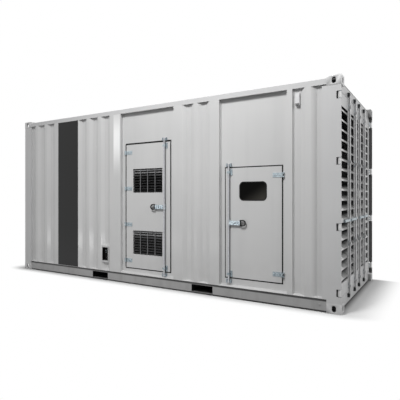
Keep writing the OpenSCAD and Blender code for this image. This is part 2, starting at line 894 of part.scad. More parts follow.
// The first side door's leaf with its two grille openings
module leaf_1() {
    difference() {
        block([door_1_x, door_face, door_1_z], [door_1_x + door_1_w, inner_y, door_1_z + door_1_h]);
        for (z = [grille_low, grille_high])
            block([door_1_x + grille_x, door_face - 1, door_1_z + z],
                  [door_1_x + grille_x + grille_w, inner_y + 1, door_1_z + z + grille_h]);
    }
}

// A rounded rectangle standing in the XZ plane, from y to y + t
module round_plate(x, y, z, w, h, r, t) {
    translate([x, y + t, z])
        rotate([90, 0, 0])
            linear_extrude(t)
                union() {
                    translate([r, 0])
                        square([w - 2 * r, h]);
                    translate([0, r])
                        square([w, h - 2 * r]);
                    for (cx = [r, w - r], cy = [r, h - r])
                        translate([cx, cy])
                            circle(r = r);
                }
}

// The second side door's leaf with its window opening
module leaf_2() {
    difference() {
        block([door_2_x, door_face, door_2_z], [door_2_x + door_2_w, inner_y, door_2_z + door_2_h]);
        round_plate(door_2_x + window_x, door_face - 1, door_2_z + window_z,
                    window_w, window_h, window_r, inner_y - door_face + 2);
    }
}

module window_pane() {
    c = seat_gap;
    round_plate(door_2_x + window_x + c, door_face + 6, door_2_z + window_z + c,
                window_w - 2 * c, window_h - 2 * c, window_r - c, 8);
}

// The bars and blades that close the grille openings
module grille_set() {
    x = door_1_x + grille_x;
    pitch = grille_h / grille_blades;
    for (z = [grille_low, grille_high]) {
        for (k = [1 : 3])
            block([x + k * grille_w / 4 - 5, door_face + 4, door_1_z + z],
                  [x + k * grille_w / 4 + 5, door_face + 10, door_1_z + z + grille_h]);
        for (k = [0 : grille_blades - 1])
            translate([x, door_face + 10, door_1_z + z + (k + 0.25) * pitch])
                rotate([90, 0, 90])
                    linear_extrude(grille_w)
                        polygon([[0, 0], [3, 0], [26, pitch * 0.6], [23, pitch * 0.6]]);
    }
}

module back_doors() {
    color(wall_grey)
        mirror([0, 1, 0]) {
            leaf_1();
            leaf_2();
        }
}

module back_grilles() {
    color(charcoal)
        mirror([0, 1, 0])
            grille_set();
}

module back_window() {
    color(black)
        mirror([0, 1, 0])
            window_pane();
}

module back_fittings() {
    color(zinc)
        mirror([0, 1, 0]) {
            rod_guides(rod_1_x, door_1_z, door_1_h, rod_r);
            rod_guides(rod_2_x, door_2_z, door_2_h, rod_r);
            side_rod(rod_1_x, door_1_z, door_1_h, handle_1_z, -1);
            side_rod(rod_2_x, door_2_z, door_2_h, handle_2_z, 1);
            side_keepers();
            for (z = hinges_1)
                side_hinge(pin_1_x, z, 1);
            for (z = hinges_2)
                side_hinge(pin_2_x, z, -1);
        }
}

// Both halves of a side door's hinge
module side_hinge(x, z, s) {
    door_strap(x, z, s);
    jamb_hinge(x, z, s);
}

module exhaust_outlet() {
    color(frame_grey)
        translate([exhaust_x, 0, roof_ridge - roof_corr])
            difference() {
                cylinder(r = exhaust_r, h = exhaust_h);
                translate([0, 0, exhaust_floor])
                    cylinder(r = exhaust_r - exhaust_t, h = exhaust_h);
            }
}

module door_1_leaf() {
    color(wall_grey)
        leaf_1();
}

module door_1_grilles() {
    color(charcoal)
        grille_set();
}

module door_2_leaf() {
    color(wall_grey)
        leaf_2();
}

module door_2_window() {
    color(black)
        window_pane();
}

// Guides round a side door's rod: a bored block with a foot to its right, near each end of the door
module rod_guides(x, z, h, bore) {
    for (zc = [z + 50, z + h - 60])
        difference() {
            union() {
                block([x - guide_block_w, rod_y - rod_r - 4, zc - 15],
                      [x + guide_block_w, door_face, zc + 15]);
                block([x - guide_block_w, door_face - strap_t, zc - guide_foot_h],
                      [x + guide_foot_w, door_face, zc + guide_foot_h]);
            }
            translate([x, rod_y, zc - guide_foot_h - 1])
                cylinder(r = bore, h = 2 * guide_foot_h + 2);
        }
}

// A hinge strap on a door: s is the way from the pin to the door
module door_strap(x, z, s) {
    h = side_knuckle;
    wide = side_barrel_r + 3;
    difference() {
        union() {
            translate([x, side_pin_y, z - h])
                cylinder(r = side_barrel_r, h = 2 * h);
            block([min(x, x + s * strap_l), door_face - strap_t, z - h],
                  [max(x, x + s * strap_l), door_face, z + h]);
            block([min(x + s * wide, x + s * strap_l), door_face - strap_t, z - strap_h],
                  [max(x + s * wide, x + s * strap_l), door_face, z + strap_h]);
        }
        translate([x, side_pin_y, z - h - 1])
            cylinder(r = side_pin_r + pin_gap, h = 2 * h + 2);
    }
}

module door_1_fittings() {
    color(zinc) {
        rod_guides(rod_1_x, door_1_z, door_1_h, rod_r + rod_gap);
        for (z = hinges_1)
            door_strap(pin_1_x, z, 1);
    }
}

module door_2_fittings() {
    color(zinc) {
        rod_guides(rod_2_x, door_2_z, door_2_h, rod_r + rod_gap);
        for (z = hinges_2)
            door_strap(pin_2_x, z, -1);
    }
}

// A side door's rod with a cam at each end and a handle plate that points the way s
module side_rod(x, z, h, zh, s) {
    low = z - rod_below;
    high = z + h + rod_above;
    collar_h = plate_h + 15;
    plate_y = -11;
    translate([x, rod_y, 0])
        union() {
            translate([0, 0, low])
                cylinder(r = rod_r, h = high - low);
            for (zc = [low, high - cam_h])
                block([-cam_l, -cam_d, zc], [cam_l, cam_d, zc + cam_h]);
            translate([0, 0, zh - collar_h])
                cylinder(r = rod_r + 3, h = 2 * collar_h);
            block([min(0, s * plate_l), plate_y, zh - plate_h],
                  [max(0, s * plate_l), plate_y + plate_t, zh + plate_h]);
        }
}

// The grip on the handle plate: a D-shaped ring whose flat side meets the plate's end
module side_grip(x, zh, s) {
    r = grip_l / 2;
    bar = grip_bar;
    translate([x + s * plate_l, rod_y - 2, zh])
        rotate([90, 0, 0])
            mirror([s < 0 ? 1 : 0, 0, 0])
                difference() {
                    union() {
                        translate([0, -r, 0])
                            cube([r, 2 * r, grip_t]);
                        translate([r, 0, 0])
                            cylinder(r = r, h = grip_t);
                    }
                    translate([bar, -r + bar, -1])
                        cube([r - bar, 2 * (r - bar), grip_t + 2]);
                    translate([r, 0, -1])
                        cylinder(r = r - bar, h = grip_t + 2);
                }
}

module side_rod_1() {
    color(zinc)
        side_rod(rod_1_x, door_1_z, door_1_h, handle_1_z, -1);
}

module side_rod_2() {
    color(zinc)
        side_rod(rod_2_x, door_2_z, door_2_h, handle_2_z, 1);
}

module side_grip_1() {
    color(black)
        side_grip(rod_1_x, handle_1_z, -1);
}

module side_grip_2() {
    color(black)
        side_grip(rod_2_x, handle_2_z, 1);
}

// The fixed half of a side hinge: two knuckles, the pin and a foot on the jamb
module jamb_hinge(x, z, s) {
    gap = 1;
    h = strap_h - side_knuckle - gap;
    near = x - s * 4;
    far = x - s * 24;
    union() {
        translate([x, side_pin_y, z - strap_h])
            cylinder(r = side_pin_r, h = 2 * strap_h);
        for (low = [z - strap_h, z + strap_h - h]) {
            translate([x, side_pin_y, low])
                cylinder(r = side_barrel_r, h = h);
            block([min(near, far), side_pin_y, low],
                  [max(near, far), face_y + bay_depth, low + h]);
        }
    }
}

// The louvred doors' hinge pins and the fixed halves of the side doors' hinges
module hinge_pins() {
    color(zinc) {
        for (z = hinges_1)
            jamb_hinge(pin_1_x, z, 1);
        for (z = hinges_2)
            jamb_hinge(pin_2_x, z, -1);
        for (z = end_hinges, s = [-1, 1])
            translate([pin_axis_x, s * pin_axis_y, z - notch_h - 2 * lug_h])
                cylinder(r = pin_r, h = 2 * (notch_h + 2 * lug_h));
    }
}

// Two cheeks beside a rod's cam
module keeper_y(x, y0, y1, z) {
    for (low = [x - keeper_gap - keeper_t, x + keeper_gap])
        block([low, y0, z], [low + keeper_t, y1, z + keeper_h]);
}

// The keepers above and below the two side doors
module side_keepers() {
    y0 = rod_y - 8;
    y1 = face_y + bay_depth;
    below = rod_below + 6;
    keeper_y(rod_1_x, y0, y1, door_1_z - below);
    keeper_y(rod_1_x, y0, y1, door_1_z + door_1_h + keeper_off);
    keeper_y(rod_2_x, y0, y1, door_2_z - below);
    keeper_y(rod_2_x, y0, y1, door_2_z + door_2_h + keeper_off);
}

module rod_keepers() {
    color(zinc) {
        side_keepers();
        for (y = end_rod_y, z = [sill_top - rod_past - 10, header_z + 20])
            for (low = [y - keeper_gap - keeper_t, y + keeper_gap])
                block([beam_face, low, z], [end_rod_x + 6, low + keeper_t, z + keeper_h]);
    }
}

// A louvred door's frame on the -Y side: two deep stiles, two rails, two bars and a handle rail
module leaf_frame() {
    y0 = -leaf_edge;
    y1 = -middle_gap / 2;
    bar_x = leaf_x - bar_t;
    top = blade_z + (blade_count - 1) * blade_pitch + leaf_high_gap;
    bar_h = handle_bar_h;
    union() {
        block([leaf_back, y0, leaf_z0], [leaf_x, y0 + hinge_stile, leaf_z1]);
        block([leaf_back, y1 - meet_stile, leaf_z0], [leaf_x, y1, leaf_z1]);
        block([leaf_back, y0, leaf_z0], [leaf_x, y1, blade_z - leaf_low_gap]);
        block([leaf_back, y0, leaf_z1 - leaf_top_rail], [leaf_x, y1, leaf_z1]);
        block([bar_x, y0, top], [leaf_x, y1, leaf_z1]);
        leaf_bar(rod_outer, bar_outer_w);
        leaf_bar(rod_inner, bar_inner_w);
        block([bar_x, y0, end_handle_z - bar_h], [leaf_x, y1, end_handle_z + bar_h]);
    }
}

// An upright bar of width w behind the rod at distance y from the middle
module leaf_bar(y, w) {
    block([leaf_x - bar_t, -y - w / 2, leaf_z0], [leaf_x, -y + w / 2, leaf_z1]);
}

// The blades of a louvred door, each with a lip and sloping up into the box
module leaf_blades() {
    y0 = -leaf_edge + hinge_stile;
    y1 = -middle_gap / 2 - meet_stile;
    for (k = [0 : blade_count - 1])
        translate([leaf_x - bar_t, y1, blade_z + k * blade_pitch])
            rotate([90, 0, 0])
                linear_extrude(y1 - y0)
                    polygon([[0, 0], [0, blade_lip], [-blade_run + 6, blade_rise],
                             [-blade_run + 6 - blade_t, blade_rise - blade_t],
                             [-blade_t, blade_lip - blade_t / 2], [-blade_t, 0]]);
}

// A louvred door's hinge blades with their barrels, and the guides round its two rods
module leaf_fittings() {
    union()
        for (z = end_hinges)
            leaf_hinge(z);
    guides = [leaf_z0 + 70, guide_low_z, guide_high_z, leaf_z1 - 110];
    for (y = [-rod_outer, -rod_inner], z = guides)
        difference() {
            union() {
                block([leaf_x, y - 22, z - 16], [end_rod_x + rod_r + 4, y + 22, z + 16]);
                block([leaf_x, y - end_foot_w, z - 34], [leaf_x + strap_t, y + end_foot_w, z + 34]);
            }
            translate([end_rod_x, y, z - 40])
                cylinder(r = rod_r + rod_gap, h = 80);
        }
}

// One hinge blade: a barrel at the pin and a plate lying on the door's face
module leaf_hinge(z) {
    difference() {
        union() {
            translate([pin_axis_x, -pin_axis_y, z - barrel_h])
                cylinder(r = barrel_r, h = 2 * barrel_h);
            block([leaf_x, -pin_axis_y + 2, z - barrel_h],
                  [leaf_x + 2 * strap_t, -leaf_edge + 60, z + barrel_h]);
        }
        translate([pin_axis_x, -pin_axis_y, z - barrel_h - 1])
            cylinder(r = pin_r + pin_gap, h = 2 * barrel_h + 2);
    }
}

module left_leaf_frame() {
    color(frame_grey)
        leaf_frame();
}

module left_leaf_blades() {
    color(wall_grey)
        leaf_blades();
}

module left_leaf_fittings() {
    color(zinc)
        leaf_fittings();
}

module right_leaf_frame() {
    color(frame_grey)
        mirror([0, 1, 0])
            leaf_frame();
}

module right_leaf_blades() {
    color(wall_grey)
        mirror([0, 1, 0])
            leaf_blades();
}

module right_leaf_fittings() {
    color(zinc)
        mirror([0, 1, 0])
            leaf_fittings();
}

// A louvred door's rod with its cams, and a handle towards the door's hinges
module end_rod(k) {
    y = end_rod_y[k];
    s = sign(y);
    low = sill_top - rod_past;
    high = header_z + rod_past;
    color(zinc)
        translate([end_rod_x, y, 0])
            union() {
                translate([0, 0, low])
                    cylinder(r = rod_r, h = high - low);
                for (z = [low, high - cam_h])
                    block([-cam_d, -cam_l, z], [cam_d, cam_l, z + cam_h]);
                translate([0, 0, end_handle_z - 35])
                    cylinder(r = rod_r + 3, h = 70);
                block([-4, min(0, s * end_handle_l), end_handle_z - 15],
                      [8, max(0, s * end_handle_l), end_handle_z + 15]);
            }
}

module end_rod_1() {
    end_rod(0);
}

module end_rod_2() {
    end_rod(1);
}

module end_rod_3() {
    end_rod(2);
}

module end_rod_4() {
    end_rod(3);
}

castings_bottom();
castings_top();
door_end_posts();
blank_end_posts();
top_rails();
side_rails();
floor_beams();
fork_pockets();
door_header();
door_sill();
blank_end_beams();
floor_deck();
roof_panel();
end_wall();
front_wall_a();
front_wall_b();
front_wall_c();
bay_jambs();
bay_heads();
bay_sills();
stripe_panel();
service_recess();
recess_frame();
sensor_box();
hinge_pins();
rod_keepers();
back_walls();
back_bays();
back_doors();
back_grilles();
back_window();
back_fittings();
exhaust_outlet();
door_1_leaf();
door_1_grilles();
door_1_fittings();
side_rod_1();
side_grip_1();
door_2_leaf();
door_2_window();
door_2_fittings();
side_rod_2();
side_grip_2();
left_leaf_frame();
left_leaf_blades();
left_leaf_fittings();
right_leaf_frame();
right_leaf_blades();
right_leaf_fittings();
end_rod_1();
end_rod_2();
end_rod_3();
end_rod_4();
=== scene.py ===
import json
import math

import bmesh
import bpy
from mathutils import Matrix, Vector


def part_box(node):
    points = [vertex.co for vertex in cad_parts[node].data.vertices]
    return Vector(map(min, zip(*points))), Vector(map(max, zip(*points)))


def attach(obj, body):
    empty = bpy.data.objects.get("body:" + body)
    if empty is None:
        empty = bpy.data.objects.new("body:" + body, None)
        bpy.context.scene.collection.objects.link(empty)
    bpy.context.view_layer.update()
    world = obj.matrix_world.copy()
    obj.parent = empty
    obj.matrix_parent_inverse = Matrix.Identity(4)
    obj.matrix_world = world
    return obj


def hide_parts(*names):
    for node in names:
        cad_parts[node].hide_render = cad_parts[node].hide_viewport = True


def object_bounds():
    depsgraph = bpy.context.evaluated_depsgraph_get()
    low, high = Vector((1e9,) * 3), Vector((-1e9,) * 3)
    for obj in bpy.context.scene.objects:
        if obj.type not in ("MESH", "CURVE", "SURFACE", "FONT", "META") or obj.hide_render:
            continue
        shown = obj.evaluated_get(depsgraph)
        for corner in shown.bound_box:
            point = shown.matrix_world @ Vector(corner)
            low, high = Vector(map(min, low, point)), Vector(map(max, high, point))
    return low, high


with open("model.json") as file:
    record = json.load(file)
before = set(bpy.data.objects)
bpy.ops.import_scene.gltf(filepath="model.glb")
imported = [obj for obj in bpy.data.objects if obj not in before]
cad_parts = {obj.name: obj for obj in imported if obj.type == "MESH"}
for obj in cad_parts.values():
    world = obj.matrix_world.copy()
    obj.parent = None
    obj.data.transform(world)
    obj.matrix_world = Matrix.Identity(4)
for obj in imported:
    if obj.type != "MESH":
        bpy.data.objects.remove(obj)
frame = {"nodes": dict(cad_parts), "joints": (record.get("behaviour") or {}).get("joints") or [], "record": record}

cad_low, cad_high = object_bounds()
CAD = frame["nodes"]
SLOTS = {row["node"]: row["material_slot"] for row in frame["record"]["subparts"]}
PINS = {joint["name"]: joint["pos_m"] for joint in frame["joints"]}
ALONG, ACROSS, UP = range(3)        # the axes' numbers

# Places that finishes and pieces share, in metres. The louvred end is at +x, the front at -y.
RAIL_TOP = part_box("side_rails")[1].z
LEAF_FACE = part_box("left_leaf_frame")[1].x
PANEL_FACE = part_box("bay_heads")[0].y       # the flat panels that the side doors stand in
WALL_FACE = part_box("front_wall_a")[0].y
DOOR_1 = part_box("door_1_leaf")
DOOR_2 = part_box("door_2_leaf")
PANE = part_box("door_2_window")
TOUCH = 0.0005                      # places nearer than this are the same place
LINING = 1.1285                     # the walls' lining lies inside this distance from the middle
LINING_ENDS = (-2.9385, 2.889)      # how far the lining reaches along the container
LINING_TOP = 2.7985
CASTING = (0.178, 0.162, 0.118)     # a corner casting's length, width and height
LOUVRED_END = 2.9                   # the outside of the louvred end lies beyond this x
END_HINGES = (0.256, 1.0547, 1.8533, 2.652)
NOTCH_HALF = 0.046                  # half the height of the notch round an end hinge
END_HANDLE = PINS["end_lock_1_turn"][UP]    # height of the louvred doors' handles
ROD_1 = PINS["side_lock_1_turn"]    # the two side doors' lock rods, at their handles
ROD_2 = PINS["side_lock_2_turn"]
ROD_HALF = 0.0142                   # up to here from a rod's axis is rod, beyond is its plate
ROD_SHADE_SIDE = (0.854, 0.521)          # which way the rods' side with painted shade looks


# ------------------------------------------------------------------ finishes

class Wire:
    """A shader socket that sums, products and masks can be written with."""

    def __init__(self, finish, socket):
        self.finish = finish
        self.socket = socket

    def maths(self, kind, first, second=0.0):
        return self.finish.maths(kind, first, second)

    def __add__(self, other):
        return self.maths("ADD", self, other)

    def __sub__(self, other):
        return self.maths("SUBTRACT", self, other)

    def __rsub__(self, other):
        return self.maths("SUBTRACT", other, self)

    def __mul__(self, other):
        return self.maths("MULTIPLY", self, other)

    __radd__ = __add__
    __rmul__ = __mul__

    def over(self, edge):
        """1 where the value is over an edge, else 0."""
        return self.maths("GREATER_THAN", self, edge)

    def under(self, edge):
        return self.maths("LESS_THAN", self, edge)

    def size(self):
        return self.maths("ABSOLUTE", self)

    def most(self, other):
        return self.maths("MAXIMUM", self, other)

    def wave(self, period):
        """A wave from -1 to 1 that comes back after each period in metres."""
        return self.maths("SINE", self * (2 * math.pi / period))

    def fade(self, start, end):
        """Goes smoothly from 0 to 1 while the value goes from start to end."""
        settings = {"interpolation_type": "SMOOTHSTEP"}
        return self.finish.node("ShaderNodeMapRange", settings, {0: self, 1: start, 2: end})


class Finish:
    """One material, built on object coordinates in metres."""

    def __init__(self, name, owner=None):
        self.material = owner or bpy.data.materials.new(name)
        self.material.use_nodes = True
        self.tree = self.material.node_tree
        self.tree.nodes.clear()
        self.place = self.node("ShaderNodeTexCoord", out="Object")
        split = self.node("ShaderNodeSeparateXYZ", values={0: self.place}).socket.node
        self.x, self.y, self.z = [Wire(self, socket) for socket in split.outputs]

    def node(self, kind, settings=None, values=None, out=0):
        """A node of a type: its settings first, then the values or links of its sockets."""
        made = self.tree.nodes.new(kind)
        for key, value in (settings or {}).items():
            setattr(made, key, value)
        for key, value in (values or {}).items():
            if isinstance(value, Wire):
                self.tree.links.new(value.socket, made.inputs[key])
            else:
                made.inputs[key].default_value = value
        return Wire(self, made.outputs[out]) if made.outputs else None

    def maths(self, kind, first, second=0.0):
        return self.node("ShaderNodeMath", {"operation": kind}, {0: first, 1: second})

    def noise(self, scale, detail, stretch=None, rough=0.5):
        """Cloudy noise from 0 to 1; stretch multiplies the coordinates first."""
        place = self.place
        if stretch:
            place = self.node("ShaderNodeVectorMath", {"operation": "MULTIPLY"},
                              {0: place, 1: stretch})
        values = {"Vector": place, "Scale": scale, "Detail": detail, "Roughness": rough}
        return self.node("ShaderNodeTexNoise", values=values)

    def cells(self, scale):
        """Small cells, each of one random colour."""
        values = {"Vector": self.place, "Scale": scale}
        return self.node("ShaderNodeTexVoronoi", values=values, out="Color")

    def blend(self, share, first, second):
        """A colour between two others, by a share from 0 to 1."""
        first, second = [tint if isinstance(tint, Wire) else (*tint, 1)
                         for tint in (first, second)]
        values = {0: share, 6: first, 7: second}
        return self.node("ShaderNodeMix", {"data_type": "RGBA"}, values, out=2)

    def relief(self, height, depth, strength, below=None):
        """Bump from a height wire, with its depth in metres."""
        values = {"Height": height, "Distance": depth, "Strength": strength}
        if below:
            values["Normal"] = below
        return self.node("ShaderNodeBump", values=values)

    def surface(self, color, rough, relief, metal=0.0, **fixed):
        """Ends the material with one Principled shader; fixed values stay on its own sockets."""
        values = {"Base Color": color, "Roughness": rough, "Metallic": metal, "Normal": relief}
        values.update({key.replace("_", " "): value for key, value in fixed.items()})
        shader = self.node("ShaderNodeBsdfPrincipled", values=values)
        self.node("ShaderNodeOutputMaterial", values={"Surface": shader})
        return self.material


def lining_share(finish):
    """1 on the perforated sheets that line the walls, the doors and the roof, else 0."""
    inside = finish.y.size().under(LINING)
    between = finish.x.over(LINING_ENDS[0]) * finish.x.under(LINING_ENDS[1])
    return inside * between * finish.z.under(LINING_TOP)


def eye_share(finish):
    """1 on the walls of the holes in a corner casting, from 10 mm inside its faces, else 0."""
    skin = 0.010
    middle = cad_high.z / 2
    length, width, height = CASTING
    x, y, z = finish.x.size(), finish.y.size(), (finish.z - middle).size()
    along = x.over(cad_high.x - length + skin) * x.under(cad_high.x - skin)
    across = y.over(cad_high.y - width + skin) * y.under(cad_high.y - skin)
    return along * across * z.over(middle - height + skin) * z.under(middle - skin)


def painted_steel(name, light, dark, extra=None, gloss=0.12):
    """Satin paint on steel: faint clouds and runs, dust low down, and a fine orange peel.

    extra takes the finish and the colour so far, and gives the colour with one more layer."""
    paint = Finish(name)
    clouds = paint.noise(0.9, 3.0)
    runs = paint.noise(7.0, 4.0, (1.0, 1.0, 0.06))
    specks = paint.noise(160.0, 1.0)
    dust = paint.z.fade(0.75, 0.10) * paint.noise(5.0, 5.0).fade(0.25, 0.8)
    color = paint.blend(clouds.fade(0.3, 0.7) * 0.6 + runs.fade(0.45, 0.75) * 0.4, light, dark)
    color = paint.blend(dust * 0.22, color, (0.36, 0.35, 0.34))
    scuffs = paint.noise(38.0, 6.0, (1.0, 1.0, 0.5), 0.7).fade(0.70, 0.76)
    color = paint.blend(scuffs * paint.z.fade(0.16, 0.02) * 0.6, color, (0.16, 0.13, 0.11))
    rough = clouds * 0.10 + runs * 0.08 + dust * 0.2 + 0.32
    height = paint.noise(420.0, 1.0) * 0.35 + specks * 0.15
    relief = paint.relief(height, 0.0004, 0.35)
    relief = paint.relief(paint.noise(2.6, 1.0), 0.004, 0.35, relief)
    if extra:
        color, relief = extra(paint, color, relief)
    return paint.surface(color, rough, relief, Coat_Weight=gloss, Coat_Roughness=0.12)


def lining(paint, color, relief):
    """The dark perforated sheets on the inside."""
    share = lining_share(paint)
    along = (paint.x + paint.y).wave(0.016)
    up = (paint.z + paint.y).wave(0.016)
    holes = (along * up).over(0.42) * share
    color = paint.blend(share * 0.9, color, (0.115, 0.118, 0.12))
    color = paint.blend(holes, color, (0.008, 0.008, 0.008))
    return color, paint.relief(1.0 - holes, 0.002, 0.6, relief)


HIGHLIGHT_LEFT = (-0.668, -0.652)       # each edge of the painted highlight on the strip, from nothing to full
HIGHLIGHT_RIGHT = (-0.508, -0.528)
HIGHLIGHT_LOW = (1.70, 2.35)
HIGHLIGHT_HIGH = (2.95, 2.45)


def strip_highlight_and_lining(paint, color, relief):
    """The lining, and a painted highlight on the flat strip beside bay 1, near its top."""
    across = paint.x.fade(*HIGHLIGHT_LEFT) * paint.x.fade(*HIGHLIGHT_RIGHT)
    up = paint.z.fade(*HIGHLIGHT_LOW) * paint.z.fade(*HIGHLIGHT_HIGH)
    outside = paint.y.under(-1.2)
    # Painted highlight: the strip is lightened to nearly white near its top.
    color = paint.blend(across * up * outside, color, (0.93, 0.93, 0.93))
    return lining(paint, color, relief)


def casting_painted_shade(paint, color, relief):
    """Painted shade in the castings' holes, on their inner faces and on the top castings at the back."""
    # Painted shade: the back top castings, the inner faces and the walls of the holes are darkened.
    top_of_back = paint.y.over(0.0) * paint.z.over(cad_high.z / 2)
    inner_face = paint.y.size().under(cad_high.y - CASTING[1] + 0.0015)
    color = paint.blend(top_of_back * 0.5, color, (0.05, 0.05, 0.05))
    color = paint.blend(inner_face * 0.7, color, (0.10, 0.10, 0.10))
    return paint.blend(eye_share(paint) * 0.97, color, (0.02, 0.02, 0.02)), relief


def rail_shade_and_grime(paint, color, relief):
    """Painted shade on the base rails, a dark band under the walls and a dark line along the bottom edge, with
    smears of road dirt.
    """
    under = paint.z.fade(0.129, 0.139) * paint.z.under(RAIL_TOP - 0.0002)
    foot = paint.z.fade(0.028, 0.016)
    smear = paint.noise(9.0, 5.0, (1.0, 1.0, 0.3)).fade(0.4, 0.75)
    # Painted shade: a dark band just under the walls' lower edge, and a dark line along the foot.
    color = paint.blend(under * 0.96, color, (0.03, 0.03, 0.03))
    color = paint.blend(foot * 0.9, color, (0.02, 0.02, 0.02))
    return paint.blend(smear * 0.25, color, (0.17, 0.165, 0.16)), relief


def header_seam(paint, color, relief):
    """The header is darker over the louvres, and has dark sealing compound along its top edge."""
    seam = paint.z.over(2.850)
    color = paint.blend(paint.x.over(LOUVRED_END) * 0.33, color, (0.05, 0.05, 0.05))
    return paint.blend(seam * 0.9, color, (0.06, 0.06, 0.055)), relief


def pocket_shade(paint, color, relief):
    """The fork pockets are bare inside, and painted almost black as painted shade."""
    return paint.blend(0.96, color, (0.012, 0.012, 0.012)), relief


def blade_painted_shade(paint, color, relief):
    """Painted shade on the blades, darker away from the posts and darkest towards the inside."""
    away = paint.y.size().under(0.86)
    deep = paint.x.fade(LEAF_FACE - 0.017, LEAF_FACE - 0.087)
    # Painted shade: the blades darken between the posts, and deeper in almost to black.
    color = paint.blend(away * 0.6, color, (0.03, 0.03, 0.03))
    return paint.blend(deep * 0.93, color, (0.022, 0.022, 0.023)), relief


def leaf_top_and_painted_shade(paint, color, relief):
    """The louvred doors' frames are darker at the top, and have painted shade from just behind their faces."""
    top = paint.z.fade(2.40, 2.62)
    deep = paint.x.fade(LEAF_FACE - 0.001, LEAF_FACE - 0.027)
    color = paint.blend(top * 0.28, color, (0.05, 0.05, 0.05))
    # Painted shade behind the frames' faces.
    return paint.blend(deep * 0.93, color, (0.022, 0.022, 0.023)), relief


def post_painted_shade(paint, color, relief):
    """Painted shade on the louvred end's posts behind their faces, darker still in the hinges' notches."""
    level = (paint.z - END_HINGES[0]).size().under(NOTCH_HALF)
    for z in END_HINGES[1:]:
        level = level.most((paint.z - z).size().under(NOTCH_HALF))
    behind = paint.y.size().under(1.2075)
    notch = paint.x.over(2.950) * paint.y.size().under(1.206) * level
    # Painted shade: dark behind the posts' faces, nearly black in the notches.
    color = paint.blend(behind * 0.9, color, (0.035, 0.035, 0.035))
    return paint.blend(notch * 0.97, color, (0.010, 0.010, 0.010)), relief


def zinc_plate(name, light, dark, metal, patch):
    """Passivated zinc: crystals of two tones, a rolled grain and dull spots.

    patch takes the finish and the colour so far, and gives the colour with one more layer."""
    zinc = Finish(name)
    crystals = zinc.cells(55.0)
    tone = zinc.node("ShaderNodeSeparateColor", values={0: crystals})
    grain = zinc.noise(300.0, 2.0, (1.0, 1.0, 0.2))
    spots = zinc.noise(26.0, 5.0).fade(0.5, 0.66)
    color = zinc.blend(tone * 0.55 + grain * 0.45, dark, light)
    color = zinc.blend(spots * 0.35, color, dark)
    color = patch(zinc, color)
    rough = tone * 0.10 + grain * 0.10 + spots * 0.2 + 0.27
    relief = zinc.relief(grain + tone * 0.2, 0.0003, 0.4)
    return zinc.surface(color, rough, relief, metal=metal)


def bright_handles(zinc, color):
    """The handles of the louvred doors are rubbed bright."""
    handle = (zinc.z - END_HANDLE).size().under(0.018) * zinc.x.over(LEAF_FACE + 0.0005)
    rubbed = zinc.blend(zinc.noise(90.0, 2.0), (0.20, 0.24, 0.27), (0.62, 0.70, 0.74))
    return zinc.blend(handle, color, rubbed)


def plates_and_rod_shade(zinc, color):
    """The side doors' handle plates are of pale zinc, and their rods carry painted shade along one side."""
    rod, shade = zinc.x * 0.0, zinc.x * 0.0
    for x, y, _ in (ROD_1, ROD_2):
        on_rod = (zinc.x - x).size().under(ROD_HALF)
        rod = rod.most(on_rod)
        aside = (zinc.x - x) * ROD_SHADE_SIDE[0] + (zinc.y - y) * ROD_SHADE_SIDE[1]
        shade = shade.most(on_rod * aside.fade(0.003, 0.008))
    plate = zinc.blend(zinc.noise(60.0, 3.0).fade(0.35, 0.65), ZINC_DARK, ZINC_LIGHT)
    # Painted shade along the rods' side that looks away from the light.
    return zinc.blend(shade * 0.6, zinc.blend(rod, plate, color), (0.10, 0.10, 0.10))


def painted_hinges(zinc, color):
    """The louvred doors' hinge plates are painted with the doors."""
    at_hinges = zinc.y.size().over(1.05)
    return zinc.blend(at_hinges, color, LIGHT_GREY)


def shaded_keepers(zinc, color):
    """The keepers over and under the louvred doors are painted nearly black, as painted shade."""
    return zinc.blend(zinc.x.over(LOUVRED_END) * 0.95, color, (0.02, 0.02, 0.02))


def painted_light_high_up(zinc, color):
    """The higher a fitting is, the brighter: painted light."""
    return zinc.blend(zinc.z.fade(0.1, 2.2) * 0.29, color, ZINC_LIGHT)


def moulded(name, light, dark, gloss, grain=260.0, sheen=0.5):
    """Moulded plastic or rubber: a fine leathery grain, with rubbed places."""
    plastic = Finish(name)
    skin = plastic.noise(grain, 3.0)
    rubbed = plastic.noise(22.0, 4.0).fade(0.45, 0.7)
    color = plastic.blend(rubbed * 0.6 + skin * 0.4, dark, light)
    relief = plastic.relief(skin, 0.0004, 0.5)
    return plastic.surface(color, rubbed * 0.12 + (gloss - 0.06), relief, Specular_IOR_Level=sheen)


def grille_paint(name):
    """Matt black blades with a painted band of light on the top ones, patchy with dust, behind three rubbed
    upright bars.
    """
    paint = Finish(name)
    dust = paint.noise(60.0, 4.0).fade(0.35, 0.7)
    lower = paint.z.under(1.0)
    top = paint.z.fade(0.735, 0.865) * lower + paint.z.fade(1.737, 1.867)
    bars = paint.y.size().over(1.1619)
    color = paint.blend(dust * 0.5, (0.005, 0.005, 0.0052), (0.008, 0.008, 0.008))
    color = paint.blend(lower * 0.3, color, (0.05, 0.05, 0.051))
    # Painted light: a lighter band along the top of each grille's opening.
    color = paint.blend(top * (dust * 0.5 + 0.5), color, (0.35, 0.35, 0.355))
    color = paint.blend(bars, color, (0.20, 0.20, 0.205))
    relief = paint.relief(paint.noise(380.0, 2.0), 0.0004, 0.5)
    return paint.surface(color, dust * 0.15 + 0.5, relief, Specular_IOR_Level=0.2)


